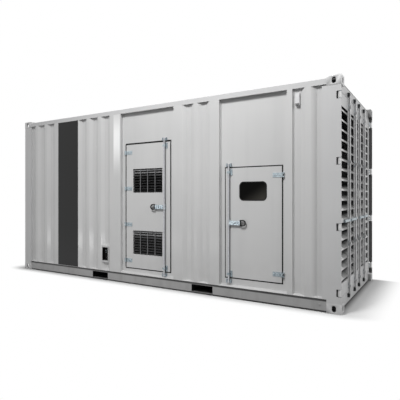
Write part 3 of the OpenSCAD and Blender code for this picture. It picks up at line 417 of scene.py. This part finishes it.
def tinted_glass(name):
    """A nearly black pane with a film of dust, and a painted reflection that brightens towards its lower right
    corner.
    """
    glass = Finish(name)
    film = glass.noise(9.0, 4.0).fade(0.2, 0.8)
    corner = (glass.x - PANE[0].x) * 1.22 - (glass.z - PANE[1].z) * 1.90
    color = glass.blend(film * 0.3, (0.0015, 0.0015, 0.0012), (0.005, 0.005, 0.0045))
    # Painted reflection, lighter towards the lower right corner.
    color = glass.blend(corner.fade(0.42, 1.05), color, (0.056, 0.053, 0.046))
    relief = glass.relief(glass.noise(3.0, 1.0), 0.0015, 0.3)
    return glass.surface(color, film * 0.1 + 0.05, relief, Specular_IOR_Level=0.05)


def vinyl_stripe(name):
    """Dark film stuck on the flat panel, with slight orange peel and paler rubbed clouds."""
    film = Finish(name)
    clouds = film.noise(1.4, 4.0).fade(0.35, 0.7)
    color = film.blend(clouds, (0.004, 0.004, 0.0041), (0.007, 0.007, 0.0071))
    color = film.blend(film.z.fade(1.0, 0.17) * 0.3, color, (0.02, 0.02, 0.02))
    relief = film.relief(film.noise(240.0, 2.0), 0.0003, 0.4)
    return film.surface(color, clouds * 0.08 + 0.42, relief, Specular_IOR_Level=0.28)


def floor_coating(name):
    """Non-slip floor paint, worn down to bare steel along the way in."""
    deck = Finish(name)
    worn = deck.noise(3.0, 6.0, rough=0.65).fade(0.52, 0.62) * deck.y.size().fade(0.7, 0.1)
    grit = deck.noise(500.0, 1.0)
    color = deck.blend(deck.noise(1.5, 3.0), (0.10, 0.105, 0.11), (0.14, 0.145, 0.15))
    color = deck.blend(worn * 0.8, color, (0.28, 0.28, 0.28))
    relief = deck.relief(grit * (1.0 - worn), 0.001, 0.7)
    return deck.surface(color, 0.62 - worn * 0.25, relief, metal=worn * 0.6)


ZINC_LIGHT = (0.72, 0.82, 0.87)
ZINC_DARK = (0.17, 0.21, 0.25)
STRAP_LIGHT = (0.44, 0.50, 0.53)
STRAP_DARK = (0.09, 0.115, 0.135)
LIGHT_GREY = (0.590, 0.590, 0.588)
SHADE_GREY = (0.545, 0.546, 0.546)
FRAME_LIGHT = (0.575, 0.576, 0.578)
FRAME_DARK = (0.525, 0.526, 0.530)
FINISHES = {
    "wall_paint": painted_steel("wall_paint_satin", LIGHT_GREY, SHADE_GREY, lining),
    "panel_paint": painted_steel("panel_paint_glossy", LIGHT_GREY, SHADE_GREY, strip_highlight_and_lining, 0.65),
    "blade_paint": painted_steel("blade_paint_sooty", LIGHT_GREY, SHADE_GREY, blade_painted_shade),
    "frame_paint": painted_steel("frame_paint_satin", FRAME_LIGHT, FRAME_DARK),
    "casting_paint": painted_steel("casting_paint_satin", FRAME_LIGHT, FRAME_DARK, casting_painted_shade),
    "leaf_paint": painted_steel("leaf_paint_sooty", FRAME_LIGHT, FRAME_DARK, leaf_top_and_painted_shade),
    "post_paint": painted_steel("post_paint_satin", FRAME_LIGHT, FRAME_DARK, post_painted_shade),
    # The rails' darker grey is partly painted shade, as they lie back under the walls.
    "rail_paint": painted_steel("rail_paint_grimy", (0.37, 0.37, 0.37), (0.33, 0.33, 0.33),
                                rail_shade_and_grime),
    "pocket_paint": painted_steel("pocket_paint_bare", (0.30, 0.30, 0.30), (0.27, 0.27, 0.27),
                                  pocket_shade),
    "floor_paint": floor_coating("floor_paint_worn"),
    "dark_stripe": vinyl_stripe("stripe_film"),
    "header_paint": painted_steel("header_paint_sealed", FRAME_LIGHT, FRAME_DARK, header_seam),
    "ledge_paint": painted_steel("ledge_paint_satin", (0.52, 0.52, 0.52), (0.47, 0.47, 0.47)),
    "zinc_plate": zinc_plate("bright_zinc", STRAP_LIGHT, STRAP_DARK, 0.78, painted_light_high_up),
    "rod_zinc": zinc_plate("rod_zinc", (0.53, 0.54, 0.56), (0.36, 0.37, 0.39), 0.45,
                           plates_and_rod_shade),
    "keeper_zinc": zinc_plate("keeper_zinc", (0.46, 0.53, 0.57), (0.16, 0.20, 0.23), 0.7,
                              shaded_keepers),
    "dull_zinc": zinc_plate("dull_zinc", (0.54, 0.54, 0.545), (0.42, 0.42, 0.425), 0.12,
                            bright_handles),
    "end_zinc": zinc_plate("end_zinc", (0.50, 0.50, 0.505), (0.38, 0.38, 0.385), 0.1,
                           painted_hinges),
    "black_plastic": moulded("moulded_black", (0.008, 0.008, 0.0083), (0.004, 0.004, 0.0043),
                             0.42, sheen=0.15),
    "recess_black": moulded("recess_black", (0.005, 0.005, 0.005), (0.002, 0.002, 0.002), 0.6,
                            sheen=0.15),
    "smoky_plastic": moulded("smoky_plastic", (0.20, 0.20, 0.20), (0.15, 0.15, 0.15), 0.3),
    "white_plastic": moulded("moulded_white", (0.78, 0.78, 0.78), (0.66, 0.66, 0.67), 0.38),
    "grille_black": grille_paint("grille_black_paint"),
    "dark_glass": tinted_glass("tinted_pane"),
    "seal_rubber": moulded("seal_rubber", (0.010, 0.010, 0.010), (0.005, 0.005, 0.005), 0.62,
                           700.0, 0.2),
}
NODE_FINISH = {
    "front_wall_a": "panel_paint",
    "left_leaf_blades": "blade_paint", "right_leaf_blades": "blade_paint",
    "left_leaf_frame": "leaf_paint", "right_leaf_frame": "leaf_paint",
    "castings_bottom": "casting_paint", "castings_top": "casting_paint",
    "door_end_posts": "post_paint", "service_recess": "recess_black",
    "door_header": "header_paint",
    "side_rails": "rail_paint", "fork_pockets": "pocket_paint",
    "side_rod_1": "rod_zinc", "side_rod_2": "rod_zinc", "rod_keepers": "keeper_zinc",
    "end_rod_1": "dull_zinc", "end_rod_2": "dull_zinc", "end_rod_3": "dull_zinc",
    "end_rod_4": "dull_zinc", "left_leaf_fittings": "end_zinc", "right_leaf_fittings": "end_zinc",
}


def node_finish(node):
    return NODE_FINISH.get(node, SLOTS[node])


for node, piece in CAD.items():
    piece.data.materials.clear()
    piece.data.materials.append(FINISHES[node_finish(node)])


# ------------------------------------------------------------------ modelling

SHEET_BEND = 0.007
CASTING_EDGE = 0.0045


def deselect():
    if bpy.context.object and bpy.context.object.mode != "OBJECT":
        bpy.ops.object.mode_set(mode="OBJECT")
    bpy.ops.object.select_all(action="DESELECT")


def activate(piece):
    deselect()
    piece.select_set(True)
    bpy.context.view_layer.objects.active = piece


def edit(piece):
    activate(piece)
    bpy.ops.object.mode_set(mode="EDIT")
    bpy.ops.mesh.select_all(action="SELECT")


def leave():
    bpy.ops.object.mode_set(mode="OBJECT")


def choose(piece, kind, wanted):
    """In edit mode, selects just the vertices, edges or faces of a piece that are wanted."""
    bpy.ops.mesh.select_mode(type=kind)
    bpy.ops.mesh.select_all(action="DESELECT")
    shape = bmesh.from_edit_mesh(piece.data)
    items = {"VERT": shape.verts, "EDGE": shape.edges, "FACE": shape.faces}[kind]
    for item in [item for item in items if wanted(item)]:
        item.select_set(True)
    bmesh.update_edit_mesh(piece.data)


def edge_line(edge):
    """From an edge's second end to its first."""
    return edge.verts[0].co - edge.verts[1].co


def settle(piece, name):
    """Names a new primitive and puts its place, turn and scale into its mesh."""
    piece.name = piece.data.name = name
    activate(piece)
    bpy.ops.object.transform_apply(location=True, rotation=True, scale=True)
    return piece


def block(name, low, high):
    deselect()
    middle = [(a + b) / 2 for a, b in zip(low, high)]
    size = [b - a for a, b in zip(low, high)]
    bpy.ops.mesh.primitive_cube_add(size=1, location=middle, scale=size)
    return settle(bpy.context.object, name)


def disc(name, radius, low, high, sides):
    """A round bar from one point to another."""
    deselect()
    low, high = Vector(low), Vector(high)
    turn = (high - low).to_track_quat("Z", "Y").to_euler()
    bpy.ops.mesh.primitive_cylinder_add(vertices=sides, radius=radius, depth=(high - low).length,
                                        location=(low + high) / 2, rotation=turn)
    return settle(bpy.context.object, name)


def smooth(piece, angle=35):
    activate(piece)
    bpy.ops.object.shade_smooth_by_angle(angle=math.radians(angle))
    return piece


def rounded(piece, radius, steps=2, angle=30):
    """Rounds every edge sharper than an angle."""
    activate(piece)
    made = piece.modifiers.new("edges", "BEVEL")
    made.width = radius
    made.segments = steps
    made.limit_method = "ANGLE"
    made.angle_limit = math.radians(angle)
    bpy.ops.object.modifier_apply(modifier=made.name)
    return smooth(piece)


def joined(name, pieces):
    """Several pieces as one."""
    deselect()
    for piece in pieces:
        piece.select_set(True)
    bpy.context.view_layer.objects.active = pieces[0]
    bpy.ops.object.join()
    pieces[0].name = pieces[0].data.name = name
    return pieces[0]


def repeated(name, master, turns):
    """Copies of a master at each matrix, as one piece."""
    made = []
    for turn in turns:
        copy = bpy.data.objects.new(name, master.data.copy())
        copy.data.transform(turn)
        bpy.context.collection.objects.link(copy)
        made.append(copy)
    return joined(name, made)


def turned_back(piece):
    """Mirrors a piece that was made for the front, for the same place on the back."""
    piece.data.transform(Matrix.Scale(-1, 4, (0, 1, 0)))
    piece.data.flip_normals()
    return piece


def fitted(piece, body, finish):
    """Gives a piece its finish and its body."""
    piece.data.materials.clear()
    piece.data.materials.append(FINISHES[finish])
    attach(piece, body)


def open_up(piece, axis, rim):
    """In edit mode, makes a hole along an axis that leaves a rim, and ends editing."""
    choose(piece, "FACE", lambda face: abs(face.normal[axis]) > 0.9)
    bpy.ops.mesh.inset(thickness=rim)
    bpy.ops.mesh.bridge_edge_loops()
    bpy.ops.mesh.select_all(action="SELECT")
    bpy.ops.mesh.normals_make_consistent(inside=False)
    leave()


def ring(name, low, high, width, rounding, corner=0.0):
    """A flat frame between two corners, open from the front to the back."""
    piece = block(name, low, high)
    edit(piece)
    if corner:
        choose(piece, "EDGE", lambda edge: abs(edge_line(edge)[ACROSS]) > TOUCH)
        bpy.ops.mesh.bevel(offset=corner, segments=8, affect="EDGES")
    open_up(piece, ACROSS, width)
    return rounded(piece, rounding)


def merged_copy(node, name):
    """A copy of a CAD node as one skin of flat faces."""
    piece = bpy.data.objects.new(name, CAD[node].data.copy())
    bpy.context.collection.objects.link(piece)
    edit(piece)
    bpy.ops.mesh.remove_doubles(threshold=0.00002)
    bpy.ops.mesh.customdata_custom_splitnormals_clear()
    bpy.ops.mesh.dissolve_limited(angle_limit=math.radians(0.4))
    leave()
    return piece


def stand_in(piece, node):
    """Lets a piece stand for the CAD node of the container that it was copied from."""
    fitted(piece, "container", node_finish(node))
    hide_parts(node)


def bent_sheet(node, along):
    """A pressed sheet with round bends: along is the axis of the bends."""
    piece = merged_copy(node, node + "_pressed")
    edit(piece)

    def is_bend(edge):
        if len(edge.link_faces) != 2:
            return False
        if abs(edge_line(edge).normalized()[along]) < 0.99:
            return False
        return math.radians(8) < edge.calc_face_angle() < math.radians(50)

    choose(piece, "EDGE", is_bend)
    bpy.ops.mesh.bevel(offset=SHEET_BEND, segments=4, affect="EDGES")
    leave()
    stand_in(smooth(piece), node)


# ------------------------------------------------------------------ view, floor and light

camera = bpy.data.objects.new("camera", bpy.data.cameras.new("camera"))
bpy.context.collection.objects.link(camera)
camera.location = (4.069, -6.174, 1.415)
camera.rotation_euler = (math.radians(90), 0, math.radians(31.39))
camera.data.lens = 35.877
camera.data.shift_y = -0.0069
camera.data.clip_end = 300
bpy.context.scene.camera = camera
bpy.context.scene.view_settings.view_transform = "Standard"


FLOOR_PALE = (0.60, 0.60, 0.60)
FLOOR_GRAIN = (0.62, 0.62, 0.62)
# The darkest floor grey is painted contact shade in the floor's colour.
FLOOR_CONTACT_SHADE = (0.07, 0.07, 0.07)
FLOOR_BOUNCE = (0.12, 0.12, 0.12)
FLOOR_UNDER = 0.08              # how far under the object its painted contact shade starts
FLOOR_CONTACT = (0.0, 0.14)     # the painted contact shade ends at this distance from there
FLOOR_FADE = (0.10, 0.58)       # and the floor turns white between these
FLOOR_FRONT = 2.0               # how much sooner both happen in front than at the ends
FLOOR_BEHIND = 3.0              # how much sooner the floor turns white behind
AMBIENT = 0.30                  # the sky's light on the object; to the eye it is 1, white


def seen_share(finish):
    """1 where a surface is looked at, straight on or in metal and glass, else 0."""
    path = finish.node("ShaderNodeLightPath").socket.node.outputs
    eye, gloss, glass = [Wire(finish, path["Is %s Ray" % kind])
                         for kind in ("Camera", "Glossy", "Transmission")]
    return 1.0 - (1.0 - eye) * (1.0 - gloss) * (1.0 - glass)


def studio_floor():
    """A pale floor that keeps the shadow, with a painted contact shade round the object, turns white further off
    and sends little light up.
    """
    finish = Finish("studio_floor")
    out_x = (finish.x.size() - (cad_high.x - FLOOR_UNDER)).most(0.0)
    out_y = (finish.y.size() - (cad_high.y - FLOOR_UNDER)).most(0.0)
    behind = (finish.y - cad_high.y).most(0.0)
    ahead = out_y * FLOOR_FRONT
    away = finish.maths("SQRT", out_x * out_x + ahead * ahead) + behind * FLOOR_BEHIND
    grain = finish.noise(0.4, 2.0)
    pale = finish.blend(grain, FLOOR_PALE, FLOOR_GRAIN)
    # Painted contact shade: the floor's colour darkens near the object's foot.
    pale = finish.blend(away.fade(*FLOOR_CONTACT), FLOOR_CONTACT_SHADE, pale)
    near = finish.node("ShaderNodeBsdfDiffuse", values={"Color": pale})
    far = finish.node("ShaderNodeEmission", values={"Color": (1, 1, 1, 1), "Strength": 1.0})
    seen = finish.node("ShaderNodeMixShader", values={0: away.fade(*FLOOR_FADE), 1: near, 2: far})
    dull = finish.node("ShaderNodeBsdfDiffuse", values={"Color": (*FLOOR_BOUNCE, 1)})
    mixed = finish.node("ShaderNodeMixShader", values={0: seen_share(finish), 1: dull, 2: seen})
    finish.node("ShaderNodeOutputMaterial", values={"Surface": mixed})
    return finish.material


deselect()
bpy.ops.mesh.primitive_plane_add(size=160, location=(0, 0, -0.0005))
ground = bpy.context.object
ground.name = ground.data.name = "studio_ground"
ground.data.materials.append(studio_floor())

world = bpy.data.worlds.new("studio")
bpy.context.scene.world = world
sky = Finish("studio", world)
strength = seen_share(sky) * (1 - AMBIENT) + AMBIENT
glow = sky.node("ShaderNodeBackground", values={0: (1, 1, 1, 1), 1: strength})
sky.node("ShaderNodeOutputWorld", values={"Surface": glow})


def soft_lamp(name, place, target, size, watts, spread=180):
    lamp = bpy.data.objects.new(name, bpy.data.lights.new(name, "AREA"))
    lamp.data.shape = "RECTANGLE"
    lamp.data.size, lamp.data.size_y = size
    lamp.data.energy = watts
    lamp.data.spread = math.radians(spread)
    lamp.location = place
    lamp.rotation_euler = (Vector(target) - Vector(place)).to_track_quat("-Z", "Y").to_euler()
    bpy.context.collection.objects.link(lamp)


soft_lamp("key_lamp", place=(0.5, -6.1, 8.0), target=(1.2, -1.2, 2.8), size=(2.2, 1.5),
          watts=214, spread=105)
soft_lamp("low_lamp", place=(-1.45, -4.8, 0.28), target=(-2.4, -1.2, 0.4), size=(2.3, 0.42),
          watts=14)
soft_lamp("end_lamp", place=(9.5, -1.8, 5.5), target=(3, 0, 1.2), size=(4, 4), watts=380)


# ------------------------------------------------------------------ pressed sheets and castings

for node in ("front_wall_a", "front_wall_b", "front_wall_c", "back_walls", "end_wall"):
    bent_sheet(node, UP)
bent_sheet("roof_panel", ACROSS)

for node in ("castings_bottom", "castings_top"):
    casting = merged_copy(node, node + "_cast")
    stand_in(rounded(casting, CASTING_EDGE, 2, 50), node)


# ------------------------------------------------------------------ rubber seals and rims

SEAL_FRONT = PANEL_FACE - 0.0022        # the seals stand a little out of the bay's panel
SEAL_BACK = PANEL_FACE + 0.014
SEAL_W = 0.016          # width of the black rubber seen round a side door
SEAL_GAP = 0.0006       # from a door's edge to its seal
SEAL_REACH = SEAL_GAP + SEAL_W
SEAL_EDGE = 0.0008
DRIP_TOP_H = 0.011      # height of the drip seal over side door 1
DRIP_SIDE_W = 0.009     # width of the one along its hinges


def door_seal(name, door, back=False):
    """The rubber round a side door's leaf."""
    low = Vector((door[0].x - SEAL_REACH, SEAL_FRONT, door[0].z - SEAL_REACH))
    high = Vector((door[1].x + SEAL_REACH, SEAL_BACK, door[1].z + SEAL_REACH))
    seal = ring(name, low, high, SEAL_W, SEAL_EDGE)
    fitted(turned_back(seal) if back else seal, "container", "seal_rubber")


def drip_seals(name, door):
    """Strips of extra rubber over a door's seal and beside it, which keep the rain off."""
    left, top = door[0].x - SEAL_REACH, door[1].z + SEAL_REACH
    over = (left, top), (door[1].x + SEAL_REACH, top + DRIP_TOP_H)
    beside = (left - DRIP_SIDE_W, door[0].z), (left, top)
    for place, (low, high) in (("top", over), ("hinge", beside)):
        drip = block("%s_%s_drip" % (name, place), (low[0], SEAL_FRONT, low[1]),
                     (high[0], SEAL_BACK, high[1]))
        fitted(rounded(drip, SEAL_EDGE, 1), "container", "seal_rubber")


drip_seals("side_door_1", DOOR_1)
door_seal("side_door_1_seal", DOOR_1)
door_seal("side_door_2_seal", DOOR_2)
door_seal("back_door_1_seal", DOOR_1, back=True)
door_seal("back_door_2_seal", DOOR_2, back=True)


def window_rubber(name, body, back=False):
    """The rubber bead that holds the pane in its opening."""
    behind, front = PANE[0].y - 0.0004, PANE[0].y - 0.0092
    low = Vector((PANE[0].x, front, PANE[0].z))
    high = Vector((PANE[1].x, behind, PANE[1].z))
    bead = ring(name, low, high, width=0.014, rounding=0.002, corner=0.0615)
    fitted(turned_back(bead) if back else bead, body, "seal_rubber")


window_rubber("side_window_rubber", "side_door_2")
window_rubber("back_window_rubber", "container", back=True)


# ------------------------------------------------------------------ sealing beads

BEAD_SIDE = 0.014
BEAD_ROUND = 0.0125
BEAD_ENDS = (0.170, 2.792)
INNER_FLAT = WALL_FACE + 0.036      # the inner flats of the corrugated walls
STRIP_END = 2.422                   # the right edge of the flat strip beside side door 2


def sealing_bead(name, x, y):
    """The painted bead in the corner between a strip's edge and the panel behind it."""
    low, high = BEAD_ENDS
    side = x + BEAD_SIDE
    bead = block(name, (x - TOUCH, y - BEAD_SIDE, low), (side, y + TOUCH, high))
    edit(bead)
    choose(bead, "EDGE", lambda edge: all(abs(end.co.x - side) < TOUCH and end.co.y < y - 0.01
                                          for end in edge.verts))
    bpy.ops.mesh.bevel(offset=BEAD_ROUND, segments=5, affect="EDGES")
    leave()
    fitted(smooth(bead), "container", "wall_paint")


sealing_bead("sealing_bead_right", STRIP_END, INNER_FLAT)
sealing_bead("sealing_bead_middle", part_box("front_wall_b")[1].x, PANEL_FACE)


# ------------------------------------------------------------------ sloping ledges

LEDGE_END = 2.845               # just short of the corner posts
LEDGE_FOOT = RAIL_TOP + 0.0005
LEDGE_LIP = 0.1690              # height of the ledge's front edge
LEDGE_TOP = 0.1980


def sloping_ledge(name, back=False):
    """The long sloping strip that closes the wall's foot and sheds water over the base rail."""
    ledge = block(name, (-LEDGE_END, WALL_FACE - 0.001, LEDGE_FOOT),
                  (LEDGE_END, PANEL_FACE + 0.014, LEDGE_TOP))
    edit(ledge)
    choose(ledge, "EDGE", lambda edge: all(end.co.y < WALL_FACE and end.co.z > LEDGE_LIP
                                           for end in edge.verts))
    bpy.ops.transform.translate(value=(0, 0, LEDGE_LIP - LEDGE_TOP))
    leave()
    fitted(turned_back(ledge) if back else ledge, "container", "ledge_paint")


sloping_ledge("sloping_ledge")
sloping_ledge("sloping_ledge_back", back=True)


# ------------------------------------------------------------------ bolts

FRONT = (0, -1, 0)
BACK = (0, 1, 0)
END = (1, 0, 0)


def facing(point, way):
    """The matrix that stands a piece made on the ground at a point, looking a way."""
    turn = Vector(way).to_track_quat("Z", "Y").to_matrix().to_4x4()
    return Matrix.Translation(point) @ turn


def hex_bolt(across):
    """A hexagon head with chamfered corners on a round washer."""
    foot = 0.0018           # the washer's thickness
    top = foot + 0.42 * across
    washer = rounded(disc("washer", 0.75 * across, (0, 0, 0), (0, 0, foot), 20), 0.0004, 1)
    head = disc("head", across / math.sqrt(3), (0, 0, foot), (0, 0, top), 6)
    edit(head)
    choose(head, "EDGE", lambda edge: all(end.co.z > top - TOUCH for end in edge.verts))
    bpy.ops.mesh.bevel(offset=0.12 * across, segments=2, affect="EDGES")
    leave()
    return joined("bolt", [washer, smooth(head, 25)])


def dome_screw(radius):
    """A domed screw head with a hexagon socket."""
    head = disc("screw", radius, (0, 0, 0), (0, 0, 0.45 * radius), 20)
    edit(head)
    choose(head, "FACE", lambda face: face.normal.z > 0.9)
    bpy.ops.mesh.inset(thickness=0.28 * radius)
    bpy.ops.mesh.extrude_region_move(TRANSFORM_OT_translate={"value": (0, 0, 0.14 * radius)})
    bpy.ops.mesh.inset(thickness=0.3 * radius)
    bpy.ops.mesh.extrude_region_move(TRANSFORM_OT_translate={"value": (0, 0, -0.3 * radius)})
    leave()
    return smooth(head, 25)


STRAP_FACE = 0.005 - DOOR_1[0].y            # a side hinge's strap is 5 mm thick
STRAP_BOLTS = (0.045, 0.080, 0.115)         # from a side hinge's pin
DOOR_1_HINGES = (0.380, 0.969, 1.558, 2.147)
DOOR_2_HINGES = (0.403, 1.708)
DOOR_1_GUIDES = (0.312, 2.215)              # heights of the rod guides
DOOR_2_GUIDES = (0.343, 1.764)
GUIDE_BOLT_X = 0.036                        # from the rod
GUIDE_BOLT_Z = 0.030                        # from a guide's middle, up and down


def side_door_bolts(pin, way, hinges, rod, guides):
    """Where a side door's bolts stand: three on each strap, two on each guide's foot."""
    straps = [(pin[ALONG] + way * far, z) for z in hinges for far in STRAP_BOLTS]
    offsets = (-GUIDE_BOLT_Z, GUIDE_BOLT_Z)
    return straps + [(rod[ALONG] + GUIDE_BOLT_X, z + up) for z in guides for up in offsets]


door_1_bolts = side_door_bolts(PINS["side_door_1_hinge"], 1, DOOR_1_HINGES, ROD_1, DOOR_1_GUIDES)
door_2_bolts = side_door_bolts(PINS["side_door_2_hinge"], -1, DOOR_2_HINGES, ROD_2, DOOR_2_GUIDES)
small_bolt = hex_bolt(0.015)
for body, bolts in (("side_door_1", door_1_bolts), ("side_door_2", door_2_bolts)):
    turns = [facing((x, -STRAP_FACE, z), FRONT) for x, z in bolts]
    fitted(repeated(body + "_bolts", small_bolt, turns), body, "zinc_plate")
turns = [facing((x, STRAP_FACE, z), BACK) for x, z in door_1_bolts + door_2_bolts]
fitted(repeated("back_door_bolts", small_bolt, turns), "container", "zinc_plate")

END_RODS = [PINS[joint][ACROSS] for joint in ("end_lock_3_turn", "end_lock_4_turn")]
END_GUIDES = (0.235, 0.807, 1.887, 2.615)   # heights of their guides
END_GUIDE_FACE = LEAF_FACE + 0.005
END_GUIDE_BOLTS = [(off, up) for off in (-0.014, 0.014) for up in (-0.023, 0.023)]
END_PLATE_FACE = LEAF_FACE + 0.010          # the louvred doors' hinge plates
END_PLATE_BOLTS = [(y, up) for y in (1.098, 1.132) for up in (-0.021, 0.021)]
for side, body in ((-1, "left_door"), (1, "right_door")):
    turns = [facing((END_PLATE_FACE, side * y, z + up), END)
             for z in END_HINGES for y, up in END_PLATE_BOLTS]
    turns += [facing((END_GUIDE_FACE, side * (y + off), z + up), END)
              for y in END_RODS for z in END_GUIDES for off, up in END_GUIDE_BOLTS]
    fitted(repeated(body + "_bolts", small_bolt, turns), body, "zinc_plate")
bpy.data.objects.remove(small_bolt)


# ------------------------------------------------------------------ locks and catches

KEY_ASIDE = 0.105           # from a side rod to the lock barrel in its handle plate
KEY_Y = -1.203
KEY_R = 0.0085
KEY_DEPTH = 0.001           # how far the slotted middle lies behind the rim


def key_barrel(name, rod, aside, body):
    """The lock barrel in a side door's handle plate, beside the rod, with its key slot."""
    barrel = disc(name, KEY_R, (0, 0, 0), (0, 0, 0.0022), 28)
    edit(barrel)
    choose(barrel, "FACE", lambda face: face.normal.z > 0.9)
    bpy.ops.mesh.inset(thickness=0.002)
    bpy.ops.mesh.extrude_region_move(TRANSFORM_OT_translate={"value": (0, 0, -KEY_DEPTH)})
    leave()
    slot = block("slot", (-0.0012, -0.0045, 0.0006), (0.0012, 0.0045, 0.0018))
    barrel = joined(name, [smooth(barrel), rounded(slot, 0.0003, 1)])
    barrel.data.transform(facing((rod[ALONG] + aside, KEY_Y, rod[UP]), FRONT))
    fitted(barrel, body, "black_plastic")


key_barrel("side_key_1", ROD_1, -KEY_ASIDE, "side_lock_1")
key_barrel("side_key_2", ROD_2, KEY_ASIDE, "side_lock_2")

CATCH_HALF = 0.0178         # half the height between a catch's cheeks
CHEEK_END = LEAF_FACE + 0.030
CHEEK_T = 0.004


def handle_catch(name, y, body):
    """The fork that a louvred door's handle drops into: a plate and two cheeks."""
    z = END_HANDLE
    plate = block("plate", (LEAF_FACE, y - 0.024, z - CATCH_HALF),
                  (LEAF_FACE + 0.004, y + 0.024, z + CATCH_HALF))
    cheeks = []
    for low in (z - 0.0215, z + 0.0175):
        cheek = block("cheek", (LEAF_FACE - TOUCH, y - 0.016, low),
                      (CHEEK_END, y + 0.016, low + CHEEK_T))
        edit(cheek)
        choose(cheek, "EDGE", lambda edge: abs(edge_line(edge).z) > TOUCH
               and all(end.co.x > CHEEK_END - TOUCH for end in edge.verts))
        bpy.ops.mesh.bevel(offset=0.010, segments=4, affect="EDGES")
        leave()
        cheeks.append(cheek)
    fitted(rounded(joined(name, [plate] + cheeks), 0.0008, 1), body, "zinc_plate")


for number, (y, body) in enumerate(((-0.859, "left_door"), (-0.440, "left_door"),
                                    (0.440, "right_door"), (0.859, "right_door")), 1):
    handle_catch("handle_catch_%d" % number, y, body)


def lock_box():
    """The box that shields the padlock, on the right door's meeting stile: open underneath."""
    box = block("lock_box", (LEAF_FACE - TOUCH, 0.011, 1.393), (LEAF_FACE + 0.034, 0.047, 1.512))
    edit(box)
    choose(box, "FACE", lambda face: face.normal.z < -0.9)
    bpy.ops.mesh.inset(thickness=0.003)
    bpy.ops.mesh.extrude_region_move(TRANSFORM_OT_translate={"value": (0, 0, 0.09)})
    leave()
    fitted(rounded(box, 0.003, 3), "right_door", "frame_paint")


def lock_hasp():
    """The plate with a raised middle beside it, on the left door's meeting stile."""
    hasp = block("lock_hasp", (LEAF_FACE, -0.047, 1.425), (LEAF_FACE + 0.006, -0.012, 1.480))
    edit(hasp)
    choose(hasp, "FACE", lambda face: face.normal.x > 0.9)
    bpy.ops.mesh.inset(thickness=0.012)
    bpy.ops.mesh.extrude_region_move(TRANSFORM_OT_translate={"value": (0.010, 0, 0)})
    leave()
    fitted(rounded(hasp, 0.0015, 2), "left_door", "frame_paint")


lock_box()
lock_hasp()


# ------------------------------------------------------------------ wall fittings

def bezel(name, inner, outer, rise):
    """A round ring standing on the ground plane."""
    made = disc(name, outer, (0, 0, 0), (0, 0, rise), 40)
    edit(made)
    open_up(made, UP, outer - inner)
    return rounded(made, 0.2 * rise, 2)


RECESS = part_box("service_recess")
RECESS_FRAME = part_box("recess_frame")
RECESS_X = (RECESS[0].x + RECESS[1].x) / 2
SCREW_ASIDE = 0.052         # from the recess's middle
SCREW_IN = 0.015            # from its frame's upper and lower end

knob_ring = bezel("recess_knob_ring", 0.0178, 0.0235, 0.005)
knob_ring.data.transform(facing((RECESS_X, -1.189, 0.491), FRONT))
fitted(knob_ring, "container", "zinc_plate")

frame_screw = dome_screw(0.0055)
screw_heights = (RECESS_FRAME[0].z + SCREW_IN, RECESS_FRAME[1].z - SCREW_IN)
turns = [facing((RECESS_X + aside, WALL_FACE, z), FRONT)
         for aside in (-SCREW_ASIDE, SCREW_ASIDE) for z in screw_heights]
fitted(repeated("recess_frame_screws", frame_screw, turns), "container", "zinc_plate")
bpy.data.objects.remove(frame_screw)


def sensor_window():
    """The dark window and the round lens on the sensor box's front."""
    low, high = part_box("sensor_box")
    x, face, foot = (low.x + high.x) / 2, low.y, low.z
    window = block("window", (x - 0.0245, face - 0.0016, foot + 0.0035),
                   (x + 0.0245, face + 0.0002, foot + 0.037))
    lens_z = foot + 0.020
    lens = disc("lens", 0.011, (x, face - 0.0005, lens_z), (x, face - 0.0036, lens_z), 24)
    both = rounded(joined("sensor_window", [window, lens]), 0.0006, 2)
    fitted(both, "container", "smoky_plastic")


sensor_window()


def earth_boss(name, x, z):
    """A round earthing boss with a threaded hole, welded to the base rail."""
    boss = bezel(name, 0.0055, 0.014, 0.008)
    boss.data.transform(facing((x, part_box("side_rails")[0].y + TOUCH, z), FRONT))
    fitted(boss, "container", "rail_paint")


earth_boss("earth_boss_right", 2.762, 0.088)
earth_boss("earth_boss_left", -2.700, 0.128)


def exhaust_guard():
    """The bars across the exhaust outlet, on one more that runs under them."""
    low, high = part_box("exhaust_outlet")
    middle = Vector(((low.x + high.x) / 2, 0.0, high.z - 0.012))
    reach = 0.1205          # from the middle to just inside the collar's wall
    bars = []
    for step in range(-4, 5):
        aside = 0.026 * step
        half = math.sqrt(reach ** 2 - aside ** 2)
        ends = [middle + Vector((x, aside, 0)) for x in (-half, half)]
        bars.append(disc("bar", 0.003, *ends, 10))
    ends = [middle + Vector((0, y, -0.006)) for y in (-reach, reach)]
    bars.append(disc("bar", 0.004, *ends, 10))
    fitted(smooth(joined("exhaust_guard", bars), 50), "container", "zinc_plate")


exhaust_guard()
